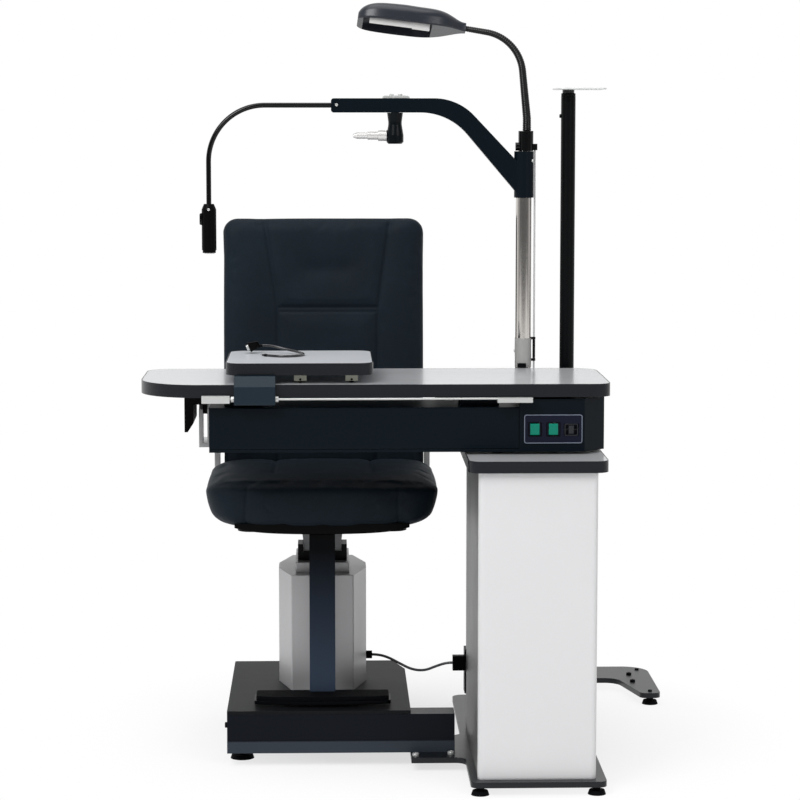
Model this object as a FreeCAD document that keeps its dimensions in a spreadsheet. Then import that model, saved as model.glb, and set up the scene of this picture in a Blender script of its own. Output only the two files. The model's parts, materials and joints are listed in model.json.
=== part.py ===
"""Eye-examination unit: lifting chair, cabinet, swinging instrument table, refractor arm and lamps.

The frame is millimetres, +Z up, -Y towards the open front of the table and +X from the chair
towards the cabinet. The origin is on the floor under the middle of the whole unit.
"""
import FreeCAD
import Part
import math
import os
import re
import Sketcher

V = FreeCAD.Vector
UP = V(0, 0, 1)
RIGHT = V(1, 0, 0)
DEEP = V(0, 1, 0)

# Driving dimensions, millimetres. Each row is an alias of the sheet and its value.
DIMENSIONS = [
    # fits and shop sizes
    ("running_gap", 0.06), ("touch_gap", 0.3), ("slide_gap", 1.0), ("cut_overrun", 2.0),
    ("edge_round", 3.0),
    # floor plate of the cabinet
    ("foot_height", 18.0), ("plate_thickness", 12.0), ("plate_left", 94.0), ("plate_right", 376.0),
    ("plate_front", -564.0), ("plate_corner", 16.0), ("foot_radius", 19.0), ("foot_inset", 20.0),
    ("stud_radius", 5.0), ("stud_rise", 3.0), ("foot_neck_radius", 8.0), ("foot_pad_height", 9.0),
    ("tab_left", -22.0), ("tab_front", -351.0), ("tab_back", -147.0), ("tab_curve", 22.0),
    ("lobe_right", 160.0), ("lobe_back", 258.0), ("lobe_round", 24.0),
    ("bar_front", 430.0), ("bar_back", 564.0), ("bar_left", 280.0), ("toe_inner_x", 505.0),
    ("toe_tip_x", 546.0), ("toe_front", 260.0), ("leg_right", 592.0), ("leg_round_back", 62.0),
    ("leg_round_front", 40.0), ("toe_round", 16.0), ("web_x", 430.0), ("web_round", 34.0),
    # cabinet
    ("cabinet_x", 232.0), ("cabinet_width", 246.0), ("cabinet_front", -542.0), ("cabinet_depth", 465.0),
    ("cabinet_height", 642.0), ("front_panel_depth", 14.0), ("front_panel_round", 10.0),
    ("cabinet_wall", 1.5),
    ("board_left", 88.0), ("board_right", 376.0), ("board_front", -557.0), ("board_back", -67.0),
    ("board_thickness", 24.0), ("board_corner", 28.0), ("edge_band", 2.4),
    ("terminal_width", 26.0), ("terminal_depth", 44.0), ("terminal_height", 100.0), ("terminal_rise", 108.0),

    # chair base
    ("chair_x", -212.0), ("base_front", -300.0), ("base_left", -418.0), ("base_right", -22.0),
    ("base_back", 220.0), ("beam_height", 84.0), ("beam_depth", 60.0), ("beam_right", 73.0),
    ("beam_wall", 4.0), ("lower_flange", 26.0), ("flange_step", 3.0), ("floor_pan", 4.0),
    ("cover_rise", 92.0), ("cover_wall", 2.5), ("cover_chamfer_x", 27.0), ("cover_chamfer_y", 95.0),
    ("chair_foot_radius", 26.0), ("chair_foot_inset", 30.0), ("chair_foot_front", -217.0), ("chair_foot_right", 90.0),
    # lift column
    ("column_y", 38.0), ("column_half", 98.5), ("column_face", 69.0), ("column_half_depth", 136.0),
    ("column_slant", 32.0), ("column_top_z", 260.0), ("column_wall", 4.0), ("column_top", 8.0),
    ("guide_width", 96.0), ("guide_depth", 120.0), ("guide_wall", 5.0), ("guide_top", -12.0),
    ("ram_bottom", 22.0), ("lift_plate_width", 120.0), ("lift_plate_depth", 196.0),
    ("lift_plate_thickness", 22.0), ("pivot_radius", 20.0), ("pivot_height", 16.0),
    ("yoke_width", 110.0), ("yoke_height", 20.0), ("yoke_ear", 12.0), ("yoke_ear_rise", 16.0),
    ("yoke_depth", 130.0), ("post_low_width", 80.0), ("post_high_width", 97.0), ("post_depth", 118.0),
    # seat
    ("seat_width", 499.0), ("seat_front", -237.0), ("seat_back", 183.0), ("seat_bottom", 120.0),
    ("seat_thickness", 114.0), ("seat_corner", 62.0), ("seat_crown", 9.0), ("seat_bow", 9.0),
    ("seat_low_round", 20.0), ("seat_high_round", 16.0), ("pan_inset", 64.0), ("pan_thickness", 10.0),
    ("pan_corner", 30.0),
    # backrest
    ("back_front", 188.0), ("back_shift", 4.0), ("back_bottom", 64.0), ("back_height", 596.0), ("back_width", 462.0),
    ("back_thickness", 78.0), ("back_corner", 34.0), ("back_lean", 4.6), ("back_crown", 10.0),
    ("back_bow", 5.0), ("back_round", 16.0), ("shell_inset", 14.0), ("shell_thickness", 16.0),
    ("shell_round", 5.0), ("bar_width", 70.0), ("bar_thickness", 8.0), ("bar_rise", 330.0),
    ("bar_tongue", 98.0),
    # arms of the chair
    ("arm_centre", 282.0), ("arm_width", 50.0), ("arm_front", -22.0), ("arm_top", 310.0),
    ("arm_pad", 56.0), ("arm_skirt", 192.0), ("arm_skirt_width", 20.0), ("arm_round", 7.0),
    ("arm_pivot_y", 160.0), ("arm_pivot_z", 226.0), ("arm_pin_radius", 5.0),
    ("arm_lug_radius", 13.0), ("arm_lug_width", 10.0), ("clevis_wall", 9.0), ("clevis_offset", 254.5),
    ("clevis_depth", 46.0), ("crank_z", 138.0), ("crank_thickness", 10.0), ("strip_offset", 238.0),
    ("strip_width", 12.0), ("strip_front", 200.0), ("strip_depth", 50.0), ("cross_bar_height", 8.0),

    # footrest
    ("strut_width", 56.0), ("strut_thickness", 10.0), ("strut_front", -212.0), ("strut_hook", 90.0),
    ("footrest_width", 296.0), ("footrest_front", -262.0), ("footrest_back", -192.0),
    ("footrest_bottom", -374.0), ("footrest_thickness", 8.0), ("footrest_bow", 10.0),
    ("footrest_corner", 10.0), ("mat_thickness", 6.0), ("mat_rib", 3.0), ("mat_pitch", 8.0),
    ("mat_inset", 4.0),
    # turntable under the instrument table
    ("swing_x", 233.0), ("swing_y", -309.0), ("turntable_radius", 84.0), ("turntable_ring", 4.0),
    ("turntable_pin", 16.0), ("turntable_bore_depth", 12.0),
    ("turntable_hub", 26.0), ("turntable_hub_rise", 12.0),
    # housing with the drawer and the switches
    ("housing_left", -445.0), ("housing_right", 335.0), ("housing_front", -444.0),
    ("housing_back", -257.0), ("flank_right", 380.0), ("flank_front", -400.0), ("housing_bottom", 6.0),
    ("housing_top", 110.0), ("bay_top", 93.0), ("bay_split", 199.0), ("runner_width", 10.0), ("housing_wall", 2.0),
    ("drawer_panel", 12.0), ("drawer_bottom", 6.0), ("drawer_lip", 5.0), ("drawer_wall", 2.0),
    ("drawer_height", 66.0), ("riser_front", -400.0), ("riser_inset", 30.0), ("cable_port", 40.0),
    ("panel_left", 208.5), ("panel_width", 122.0), ("panel_bottom", 17.0), ("panel_height", 61.0),
    ("panel_thickness", 1.5), ("window_margin", 6.0), ("rocker_width", 19.0), ("rocker_height", 24.0),
    ("rocker_depth", 14.0), ("rocker_z", 47.0), ("rocker_first", 231.0), ("rocker_second", 269.5),
    ("rocker_proud", 3.0), ("rocker_play", 1.4), ("axle_radius", 1.6), ("axle_depth", 6.0),
    ("cradle_wall", 2.0), ("cradle_depth", 14.0), ("cradle_height", 12.0), ("cradle_gap", 0.4),
    ("lever_x", 307.0), ("lever_width", 10.6), ("lever_height", 20.0), ("lever_z", 46.0),
    ("cup_width", 34.0), ("cup_height", 28.0), ("cup_depth", 12.0), ("cup_wall", 1.2),
    ("lever_depth", 9.0),
    # instrument tabletop
    ("table_left", -592.0), ("table_right", 390.0), ("table_front", -452.0), ("table_back", -102.0),
    ("table_top", 142.0), ("table_thickness", 27.0), ("table_nose", 130.0), ("table_tail", 48.0),
    ("table_right_front", 34.0), ("table_right_back", 60.0),
    # sliding tray and its rail
    ("rail_radius", 2.2), ("rail_y", -461.0), ("rail_z", -29.0), ("rail_left", -459.0),
    ("rail_right", 225.0), ("rail_block_left", 58.0), ("rail_block_right", 73.0),
    ("rail_block_front", -468.5), ("rail_block_bottom", 105.0),
    ("rail_block_lip", 120.0), ("rail_block_clear", 0.3),
    ("tray_left", -411.0), ("tray_width", 307.0), ("tray_front", -437.0), ("tray_depth", 300.0),
    ("tray_bottom", 18.0), ("tray_thickness", 25.0), ("tray_corner", 34.0),
    ("hook_left", -392.0), ("hook_width", 85.0), ("hook_front", -472.0), ("hook_back", -453.4),
    ("hook_bottom", -41.0), ("hook_bevel_z", -3.0), ("hook_bevel_y", -455.0), ("hook_arm_z", 10.0),
    ("hook_reach", -370.0), ("roller_radius", 7.0), ("roller_width", 12.0), ("roller_axle", 2.5),
    ("roller_first", -256.0), ("roller_second", -149.0), ("roller_front", -402.0),
    ("roller_span", 230.0), ("fork_length", 26.0), ("fork_wall", 3.0), ("fork_drop", 14.0),
    ("fork_roof", 2.0),
    # poles
    ("pole_x", 233.0), ("pole_y", -82.0), ("pole_radius", 17.5), ("pole_foot", 22.0),
    ("pole_shoulder", 522.2), ("journal_radius", 14.0), ("pole_top", 101.8), ("spigot_radius", 8.0),
    ("spigot_height", 14.0), ("mast_x", 332.0), ("mast_y", -58.0), ("mast_radius", 16.0),
    ("mast_top", 744.0), ("mast_wall", 2.0), ("bracket_bottom", 14.0), ("bracket_top", 110.0),
    ("bracket_wall", 6.0), ("socket_wall", 4.0), ("bracket_web", 8.0),
    ("cable_radius", 2.0), ("cable_offset", 24.0),
    ("stem_grip", -140.0), ("stem_collar", 15.0), ("stem_collar_height", 6.0),
    ("stem_pin_radius", 6.0), ("stem_pin_height", 6.0),
    ("shelf_left", 302.0), ("shelf_right", 408.0), ("shelf_front", -150.0), ("shelf_back", 10.0),
    ("shelf_bottom", 14.0), ("shelf_thickness", 3.0), ("hub_radius", 13.0), ("shelf_corner", 14.0),
    # refractor arm
    ("boss_radius", 21.5), ("boss_bottom", 0.3), ("boss_top", 101.5), ("beam_end", -190.0),
    ("beam_low", 185.8), ("beam_high", 216.8), ("beam_thick", 30.0), ("elbow_outer_x", 87.0),
    ("elbow_inner_x", 68.0), ("elbow_outer_round", 120.0), ("elbow_inner_round", 135.0),
    ("leg_high", 77.8), ("leg_low", 7.8), ("leg_x", 219.0), ("beam_chamfer", 6.0),
    ("hanger_bore_radius", 9.0), ("hanger_bore_depth", 20.0),
    # refractor hanger
    ("hanger_x", -50.0), ("hanger_radius", 18.6), ("hanger_top", 185.4), ("hanger_cap", 20.0),
    ("hanger_waist_radius", 14.8), ("hanger_waist", 6.0), ("hanger_cap_radius", 17.4), ("hanger_hip", 23.0), ("hanger_bottom", 117.8),
    ("hanger_chamfer", 4.0), ("pin_z", 135.8), ("pin_reach", 84.0), ("pin_radius", 11.8),
    ("pin_mid_radius", 9.0), ("pin_tip_radius", 7.0), ("pin_first_step", 37.0), ("pin_second_step", 60.0),
    ("pin_nose", 8.0),
    # near lamp
    ("near_neck_radius", 5.5), ("near_neck_z", 201.8), ("near_corner_x", -458.0), ("near_bend", 123.0),
    ("near_foot_z", -26.2), ("near_grip", 24.0), ("near_lamp_radius", 16.0), ("near_lamp_bottom", -114.2),
    ("near_lamp_top", -13.2), ("near_lens", 6.0), ("near_nose_radius", 11.0),
    ("near_nose", 12.0), ("near_lens_radius", 14.5),
    # overhead lamp
    ("lamp_block_x", 237.0), ("lamp_block_radius", 16.5), ("lamp_block_bottom", 102.0),
    ("lamp_block_top", 145.8), ("lamp_knob_radius", 9.0), ("lamp_knob_length", 12.0),
    ("lamp_knob_z", 111.8), ("lamp_knob_x", 214.0), ("lug_reach", 262.0), ("lug_half", 5.0),
    ("lug_low", 103.8), ("lug_high", 117.8), ("neck_x", 239.0), ("neck_plug_radius", 7.0), ("neck_plug", 16.0),
    ("neck_base_radius", 9.6), ("neck_head_radius", 6.4), ("neck_corner_x", 222.0),
    ("neck_corner_z", 347.8), ("neck_bend", 95.0), ("neck_end_x", 92.0), ("neck_end_z", 369.8),
    ("neck_ribs", 64), ("neck_rib_height", 0.9), ("neck_straight", 28.0),
    ("head_pitch", 7.0), ("head_length", 236.0), ("head_tail", 12.0), ("head_half_width", 54.0),
    ("head_rise", 25.0), ("head_drop", 17.8), ("head_wall", 3.0), ("head_rim_round", 4.0), ("head_roll", 16.0),
    ("tube_low", -8.0), ("tube_radius", 6.5),
    ("tube_start", 104.0), ("tube_end", 198.0), ("tube_socket_start", 66.0), ("tube_socket_radius", 8.5),
    ("tube_stalk_width", 12.0),
    # cords
    ("lead_radius", 2.6), ("connector_length", 36.0), ("connector_width", 30.0), ("connector_height", 34.0),
    ("connector_x", -377.0), ("connector_y", -200.0), ("cord_radius", 3.0), ("cord_lead_in", 13.0), ("lead_lead_in", 11.0), ("gland_radius", 9.0),
    ("gland_length", 14.0), ("gland_z", 52.0), ("gland_y", 40.0), ("plug_length", 26.0),
    ("plug_width", 20.0), ("plug_height", 34.0),
]

# What a height is measured from: its value above is the rise over that level.
MEASURED_FROM = {
    "foot_height+plate_thickness": ("ram_bottom",),
    "foot_height+plate_thickness+cover_rise": ("column_top_z", "gland_z"),
    "column_top_z": ("guide_top", "seat_bottom"),
    "seat_bottom": ("back_bottom", "arm_top", "arm_skirt", "arm_pivot_z", "crank_z", "footrest_bottom"),
    "foot_height+plate_thickness+cabinet_height+board_thickness": ("housing_bottom", "pole_shoulder",
        "mast_top"),
    "housing_bottom": ("housing_top", "bay_top", "drawer_bottom", "panel_bottom", "rocker_z", "lever_z",
        "table_top", "rail_block_bottom", "rail_block_lip", "bracket_bottom", "bracket_top", "pole_foot"),
    "table_top": ("rail_z", "tray_bottom", "hook_bottom", "hook_bevel_z", "hook_arm_z"),
    "pole_shoulder": ("boss_bottom", "boss_top", "pole_top", "leg_low", "leg_high", "beam_low",
        "beam_high", "hanger_top", "hanger_bottom", "pin_z", "near_neck_z", "near_foot_z",
        "near_lamp_bottom", "near_lamp_top", "lamp_block_bottom", "lamp_block_top", "lamp_knob_z",
        "lug_low", "lug_high", "neck_corner_z", "neck_end_z"),
    "mast_top": ("stem_grip", "shelf_bottom"),
}
LEVELS = {alias: level for level, names in MEASURED_FROM.items() for alias in names}

doc = FreeCAD.newDocument("ExaminationUnit")
sheet = doc.addObject("Spreadsheet::Sheet", "Dims")
for row, (alias, value) in enumerate(DIMENSIONS, start=1):
    sheet.set(f"A{row}", alias)
    sheet.set(f"B{row}", str(value))
    sheet.setAlias(f"{'C' if alias in LEVELS else 'B'}{row}", alias)
for row, (alias, _) in enumerate(DIMENSIONS, start=1):
    if alias in LEVELS:
        sheet.set(f"C{row}", f"={LEVELS[alias]}+B{row}")
doc.recompute()

ALIASES = {alias for alias, _ in DIMENSIONS}
parts = []


def in_sheet(formula):
    """The formula with each alias written as a reference to the sheet."""
    return re.sub(r"[a-z][a-z_]*", lambda word: f"Dims.{word.group(0)}"
                  if word.group(0) in ALIASES else word.group(0), formula)


def size(formula):
    """The present value of a formula of aliases, in millimetres."""
    return float(sheet.evalExpression(in_sheet(formula)))


def spot(x, y, z):
    """A point from three formulas of the sheet."""
    return V(size(x), size(y), size(z))


def bind(feature, **formulas):
    """Tie properties of a feature to formulas of the sheet."""
    for prop, formula in formulas.items():
        feature.setExpression(prop.replace("__", "."), in_sheet(formula))
    return feature


def place(feature, x="0", y="0", z="0"):
    """Tie the place of a feature to formulas of the sheet."""
    return bind(feature, Placement__Base__x=x, Placement__Base__y=y, Placement__Base__z=z)


def block(name, length, width, height, x, y, z):
    """A box with its low corner at x, y, z."""
    feature = doc.addObject("Part::Box", name)
    bind(feature, Length=length, Width=width, Height=height)
    return place(feature, x, y, z)


def rod(name, radius, height, x, y, z, along=UP):
    """A cylinder from x, y, z along a direction."""
    feature = doc.addObject("Part::Cylinder", name)
    feature.Placement.Rotation = FreeCAD.Rotation(UP, along)
    bind(feature, Radius=radius, Height=height)
    return place(feature, x, y, z)


def cone(name, low_radius, high_radius, height, x, y, z, along=UP):
    """A cone from x, y, z along a direction."""
    feature = doc.addObject("Part::Cone", name)
    feature.Placement.Rotation = FreeCAD.Rotation(UP, along)
    bind(feature, Radius1=low_radius, Radius2=high_radius, Height=height)
    return place(feature, x, y, z)


def join(name, *features):
    """One solid from several."""
    feature = doc.addObject("Part::MultiFuse", name)
    feature.Shapes = list(features)
    feature.Refine = True
    return feature


def less(name, base, *tools):
    """The base with the tools cut out of it."""
    tool = tools[0] if len(tools) == 1 else join(f"{name}_tools", *tools)
    feature = doc.addObject("Part::Cut", name)
    feature.Base = base
    feature.Tool = tool
    feature.Refine = True
    return feature


def group(name, *features):
    """Several separate solids kept as one sub-part."""
    feature = doc.addObject("Part::Compound", name)
    feature.Links = list(features)
    return feature


def solid(name, shape):
    """A sub-part whose shape is made by functions of the sizes."""
    feature = doc.addObject("Part::Feature", name)
    feature.Shape = shape
    return feature


def rounded(name, base, radius, chosen):
    """The base with fillets on the edges that chosen picks."""
    doc.recompute()
    feature = doc.addObject("Part::Fillet", name)
    feature.Base = base
    reach = size(radius)
    feature.Edges = [(number, reach, reach) for number, edge in enumerate(base.Shape.Edges, start=1)
                     if chosen(edge)]
    return feature


def finish(feature, label):
    """Keep a feature as a named sub-part."""
    feature.Label = label
    parts.append(feature)
    return feature


def straight(edge, axis):
    """Whether an edge is a straight line along an axis."""
    if edge.Curve.TypeId != "Part::GeomLine":
        return False
    return abs(edge.tangentAt(edge.FirstParameter).dot(axis)) > 0.999


def upright(edge):
    return straight(edge, UP)


def crosswise(edge):
    return straight(edge, RIGHT)


PLANES = {"XY_Plane": (0, 1), "XZ_Plane": (0, 2), "YZ_Plane": (1, 2)}


def outline_pad(name, plane, points, length, offset="0", rounds=None, symmetric=False):
    """A body: an outline on an origin plane, padded by a length, with rounded corners.

    points are pairs of formulas, and rounds maps a radius formula to the corner numbers it rounds.
    """
    body = doc.addObject("PartDesign::Body", name)
    origin_plane = [item for item in body.Origin.OriginFeatures if item.Role == plane][0]
    sketch = body.newObject("Sketcher::SketchObject", f"{name}_outline")
    sketch.AttachmentSupport = [(origin_plane, "")]
    sketch.MapMode = "FlatFace"
    bind(sketch, AttachmentOffset__Base__z=offset)
    spots = [V(size(across), size(along), 0) for across, along in points]
    count = len(spots)
    for number in range(count):
        sketch.addGeometry(Part.LineSegment(spots[number], spots[(number + 1) % count]), False)
    for number in range(count):
        sketch.addConstraint(Sketcher.Constraint("Coincident", number, 2, (number + 1) % count, 1))
    for number, (across, along) in enumerate(points):
        for kind, formula, value in (("DistanceX", across, spots[number].x),
                                     ("DistanceY", along, spots[number].y)):
            held = sketch.addConstraint(Sketcher.Constraint(kind, -1, 1, number, 1, value))
            sketch.setExpression(f"Constraints[{held}]", in_sheet(formula))
    pad = body.newObject("PartDesign::Pad", f"{name}_pad")
    pad.Profile = sketch
    bind(pad, Length=length)
    pad.Midplane = symmetric
    doc.recompute()
    last = pad
    first, second = PLANES[plane]
    for number, (radius, corners) in enumerate((rounds or {}).items()):
        wanted = [(spots[corner].x, spots[corner].y) for corner in corners]
        normal = V(*[0 if axis in (first, second) else 1 for axis in range(3)])
        edges = []
        for index, edge in enumerate(last.Shape.Edges, start=1):
            if not straight(edge, normal):
                continue
            here = edge.Vertexes[0].Point
            if any(math.hypot(here[first] - a, here[second] - b) < size("running_gap") for a, b in wanted):
                edges.append(f"Edge{index}")
        fillet = body.newObject("PartDesign::Fillet", f"{name}_round_{number}")
        fillet.Base = (last, edges)
        bind(fillet, Radius=radius)
        doc.recompute()
        last = fillet
    body.Tip = last
    return body


def ring(name, outline, length, inset, offset, rounds):
    """A band round an outline: the outline padded, less the same outline drawn in by inset."""
    outer = outline_pad(f"{name}_outer", "XY_Plane", outline(inset="0"), length, offset, rounds("0"))
    inner = outline_pad(f"{name}_inner", "XY_Plane", outline(inset=inset), f"{length}+2*cut_overrun",
                        f"{offset}-cut_overrun", rounds(inset))
    return less(name, outer, inner)


def oblong(left, front, right, back):
    """The outline function of a rectangle that can be drawn in."""
    def outline(inset):
        return [(f"{left}+{inset}", f"{front}+{inset}"), (f"{right}-{inset}", f"{front}+{inset}"),
                (f"{right}-{inset}", f"{back}-{inset}"), (f"{left}+{inset}", f"{back}-{inset}")]
    return outline


# Floor plate of the cabinet: a flat plate with a tab under the chair beam and a hooked rear leg.
plate_points = [
    ("plate_left", "plate_front"), ("plate_right", "plate_front"), ("plate_right", "bar_left"),
    ("web_x", "bar_front"), ("toe_inner_x", "bar_front"), ("toe_tip_x", "toe_front"),
    ("leg_right", "toe_front"), ("leg_right", "bar_back"), ("bar_left", "bar_back"),
    ("lobe_right", "lobe_back"), ("plate_left", "lobe_back"), ("plate_left", "tab_back"),
    ("tab_left", "tab_back"), ("tab_left", "tab_front"), ("plate_left", "tab_front"),
]
floor_plate = outline_pad("floor_plate", "XY_Plane", plate_points, "plate_thickness", "foot_height", {
    "plate_corner": [0, 1], "web_round": [2, 3, 8], "leg_round_front": [4], "toe_round": [5, 6],
    "leg_round_back": [7], "lobe_round": [9, 10], "tab_curve": [11, 14]})
finish(floor_plate, "cabinet_base_plate")

cabinet_feet = [("plate_left+foot_inset", "plate_front+foot_inset"),
                ("plate_right-foot_inset", "plate_front+foot_inset"),
                ("plate_left+foot_inset+plate_corner", "lobe_back-foot_inset-plate_corner"),
                ("leg_right-foot_inset-edge_round", "toe_front+foot_inset+edge_round"),
                ("leg_right-foot_inset-edge_round*2", "bar_back-foot_inset-foot_radius")]
chair_feet = [("base_left+chair_foot_inset", "chair_foot_front"),
              ("base_left+chair_foot_inset", "base_back-chair_foot_inset"),
              ("base_right-chair_foot_right", "base_back-chair_foot_inset")]


def levelling_foot(name, x, y, radius, top):
    """A floor pad with a neck up to the underside that it carries."""
    pad = cone(f"{name}_pad", f"{radius}", f"{radius}-edge_round", "foot_pad_height", x, y, "0")
    neck = rod(f"{name}_neck", "foot_neck_radius", f"{top}-foot_pad_height", x, y, "foot_pad_height")
    return join(name, pad, neck)


feet = [levelling_foot(f"cabinet_foot_{number}", x, y, "foot_radius", "foot_height")
        for number, (x, y) in enumerate(cabinet_feet)]
feet += [levelling_foot(f"chair_foot_{number}", x, y, "chair_foot_radius", "foot_height+plate_thickness")
         for number, (x, y) in enumerate(chair_feet)]
feet += [rod(f"stud_{number}", "stud_radius", "stud_rise", x, y, "foot_height+plate_thickness")
         for number, (x, y) in enumerate(cabinet_feet[2:])]
finish(group("foot_set", *feet), "levelling_feet")

# Cabinet: a closed box with its front panel wrapping the front edges and a board on top.
cabinet_low = "foot_height+plate_thickness"
cabinet_high = "foot_height+plate_thickness+cabinet_height"
half_cabinet = "cabinet_width/2"
front_panel = outline_pad(
    "front_panel", "XY_Plane",
    oblong(f"cabinet_x-{half_cabinet}", "cabinet_front", f"cabinet_x+{half_cabinet}",
           "cabinet_front+front_panel_depth")("0"),
    "cabinet_height", cabinet_low, {"front_panel_round": [0, 1]})
finish(front_panel, "cabinet_front_panel")
box = block("cabinet_box", "cabinet_width", "cabinet_depth-front_panel_depth", "cabinet_height",
            f"cabinet_x-{half_cabinet}", "cabinet_front+front_panel_depth", cabinet_low)
room = block("cabinet_room", "cabinet_width-2*cabinet_wall", "cabinet_depth-front_panel_depth-2*cabinet_wall",
             "cabinet_height-2*cabinet_wall", f"cabinet_x-{half_cabinet}+cabinet_wall",
             "cabinet_front+front_panel_depth+cabinet_wall", f"{cabinet_low}+cabinet_wall")
port = block("cabinet_port", "cable_port*2", "4*cabinet_wall", "cable_port",
             "cabinet_x-cable_port", "cabinet_front+cabinet_depth-3*cabinet_wall",
             f"{cabinet_high}-cable_port*2")
finish(less("cabinet_shell", box, room, port), "cabinet_body")


def board_outline(inset):
    return oblong("board_left", "board_front", "board_right", "board_back")(inset)


board = outline_pad("board", "XY_Plane", board_outline("edge_band"), "board_thickness", cabinet_high,
                    {"board_corner-edge_band": [0, 1, 2, 3]})
finish(board, "cabinet_top_board")
band = ring("board_band", board_outline, "board_thickness", "edge_band", cabinet_high,
            lambda inset: {f"board_corner-{inset}": [0, 1, 2, 3]})
finish(band, "cabinet_top_edge")

board_top = f"{cabinet_high}+board_thickness"
ring_disc = rod("turn_ring", "turntable_radius", "turntable_ring", "swing_x", "swing_y", board_top)
ring_pin = rod("turn_pin", "turntable_pin", "turntable_ring+turntable_bore_depth", "swing_x", "swing_y",
               board_top)
finish(join("turn_base", ring_disc, ring_pin), "turntable_base")

# Chair base: a channel beam across the front, a floor pan and a cover over both.
beam_low = "foot_height+plate_thickness"
beam_outer = block("beam_outer", "beam_right-base_left", "beam_depth", "beam_height", "base_left",
                   "base_front", beam_low)
beam_room = block("beam_room", "beam_right-base_left-2*beam_wall", "beam_depth-beam_wall+cut_overrun",
                  "beam_height-2*beam_wall", "base_left+beam_wall", "base_front+beam_wall",
                  f"{beam_low}+beam_wall")
beam_flange = block("beam_flange", "beam_right-base_left", "flange_step+beam_wall", "lower_flange",
                    "base_left", "base_front-flange_step", beam_low)
pan_points = [("base_left+cover_wall", "base_front+beam_depth"),
              ("base_right-cover_wall", "base_front+beam_depth"),
              ("base_right-cover_wall", "base_back-cover_chamfer_y"),
              ("base_right-cover_chamfer_x-cover_wall", "base_back-cover_wall"),
              ("base_left+cover_wall", "base_back-cover_wall")]
floor_pan = outline_pad("floor_pan", "XY_Plane", pan_points, "floor_pan", beam_low)
channel = less("beam_channel", beam_outer, beam_room)
finish(join("beam", channel, beam_flange, floor_pan), "chair_base_beam")


def cover_outline(inset):
    return [(f"base_left+{inset}", f"base_front+{inset}"), (f"base_right-{inset}", f"base_front+{inset}"),
            (f"base_right-{inset}", "base_back-cover_chamfer_y"),
            (f"base_right-cover_chamfer_x-{inset}", f"base_back-{inset}"),
            (f"base_left+{inset}", f"base_back-{inset}")]


cover_top = f"{beam_low}+cover_rise"
cover = outline_pad("cover_skin", "XY_Plane", cover_outline("0"), "cover_rise", beam_low,
                    {"cover_wall*2": [4]})
cover_room = outline_pad("cover_room", "XY_Plane", cover_outline("cover_wall"),
                         "cover_rise-cover_wall+cut_overrun", f"{beam_low}-cut_overrun")
cover_notch = block("cover_notch", "base_right-base_left+2*cut_overrun", "beam_depth+cut_overrun",
                    "beam_height+touch_gap+cut_overrun", "base_left-cut_overrun",
                    "base_front-cut_overrun", f"{beam_low}-cut_overrun")


def octagon(half, depth, face, slant):
    """An elongated octagon about the column."""
    right = [(f"chair_x+{face}", f"column_y-({depth})"), (f"chair_x+{half}", f"column_y-({slant})"),
             (f"chair_x+{half}", f"column_y+{slant}"), (f"chair_x+{face}", f"column_y+{depth}")]
    left = [(f"chair_x-({face})", f"column_y+{depth}"), (f"chair_x-({half})", f"column_y+{slant}"),
            (f"chair_x-({half})", f"column_y-({slant})"), (f"chair_x-({face})", f"column_y-({depth})")]
    return right + left


cover_hole = outline_pad(
    "cover_hole", "XY_Plane",
    octagon("column_half-column_wall", "column_half_depth-column_wall", "column_face-column_wall/2",
            "column_slant-column_wall/2"),
    "cover_wall+2*cut_overrun", f"{cover_top}-cover_wall-cut_overrun")
finish(less("cover_shell", cover, cover_room, cover_notch, cover_hole), "chair_base_cover")

# Lift column: an octagonal cover, a square guide inside and the ram that rises in it.
column_skin = outline_pad("column_skin", "XY_Plane",
                          octagon("column_half", "column_half_depth", "column_face", "column_slant"),
                          f"column_top_z-({cover_top})", cover_top,
                          {"edge_round": [0, 1, 2, 3, 4, 5, 6, 7]})
column_room = outline_pad(
    "column_room", "XY_Plane",
    octagon("column_half-column_wall", "column_half_depth-column_wall", "column_face-column_wall/2",
            "column_slant-column_wall/2"),
    f"column_top_z-column_top-({cover_top})+cut_overrun", f"{cover_top}-cut_overrun")
ram_half = "(guide_width/2-guide_wall-running_gap)"
ram_half_depth = "(guide_depth/2-guide_wall-running_gap)"
column_hole = block("column_hole", f"2*{ram_half}+2*slide_gap", f"2*{ram_half_depth}+2*slide_gap",
                    "column_top+2*cut_overrun", f"chair_x-{ram_half}-slide_gap",
                    f"column_y-{ram_half_depth}-slide_gap", "column_top_z-column_top-cut_overrun")
finish(less("column_shell", column_skin, column_room, column_hole), "column_cover")
guide_low = f"{beam_low}+floor_pan"
guide_outer = block("guide_outer", "guide_width", "guide_depth", f"guide_top-({guide_low})",
                    "chair_x-guide_width/2", "column_y-guide_depth/2", guide_low)
guide_bore = block("guide_bore", "guide_width-2*guide_wall", "guide_depth-2*guide_wall",
                   "guide_top", "chair_x-guide_width/2+guide_wall", "column_y-guide_depth/2+guide_wall",
                   guide_low)
finish(less("guide", guide_outer, guide_bore), "lift_guide_tube")
plate_z = "column_top_z+touch_gap"
ram = block("ram", f"2*{ram_half}", f"2*{ram_half_depth}", f"{plate_z}-ram_bottom",
            f"chair_x-{ram_half}", f"column_y-{ram_half_depth}", "ram_bottom")
lift_plate = block("lift_plate", "lift_plate_width", "lift_plate_depth", "lift_plate_thickness",
                   "chair_x-lift_plate_width/2", "column_y-lift_plate_depth/2", plate_z)
lift_plate = rounded("lift_plate_soft", lift_plate, "edge_round", upright)
lift_pivot = rod("lift_pivot", "pivot_radius", "pivot_height", "chair_x", "column_y",
                 f"{plate_z}+lift_plate_thickness")
finish(join("lift_ram", ram, lift_plate, lift_pivot), "lift_column")

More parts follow.
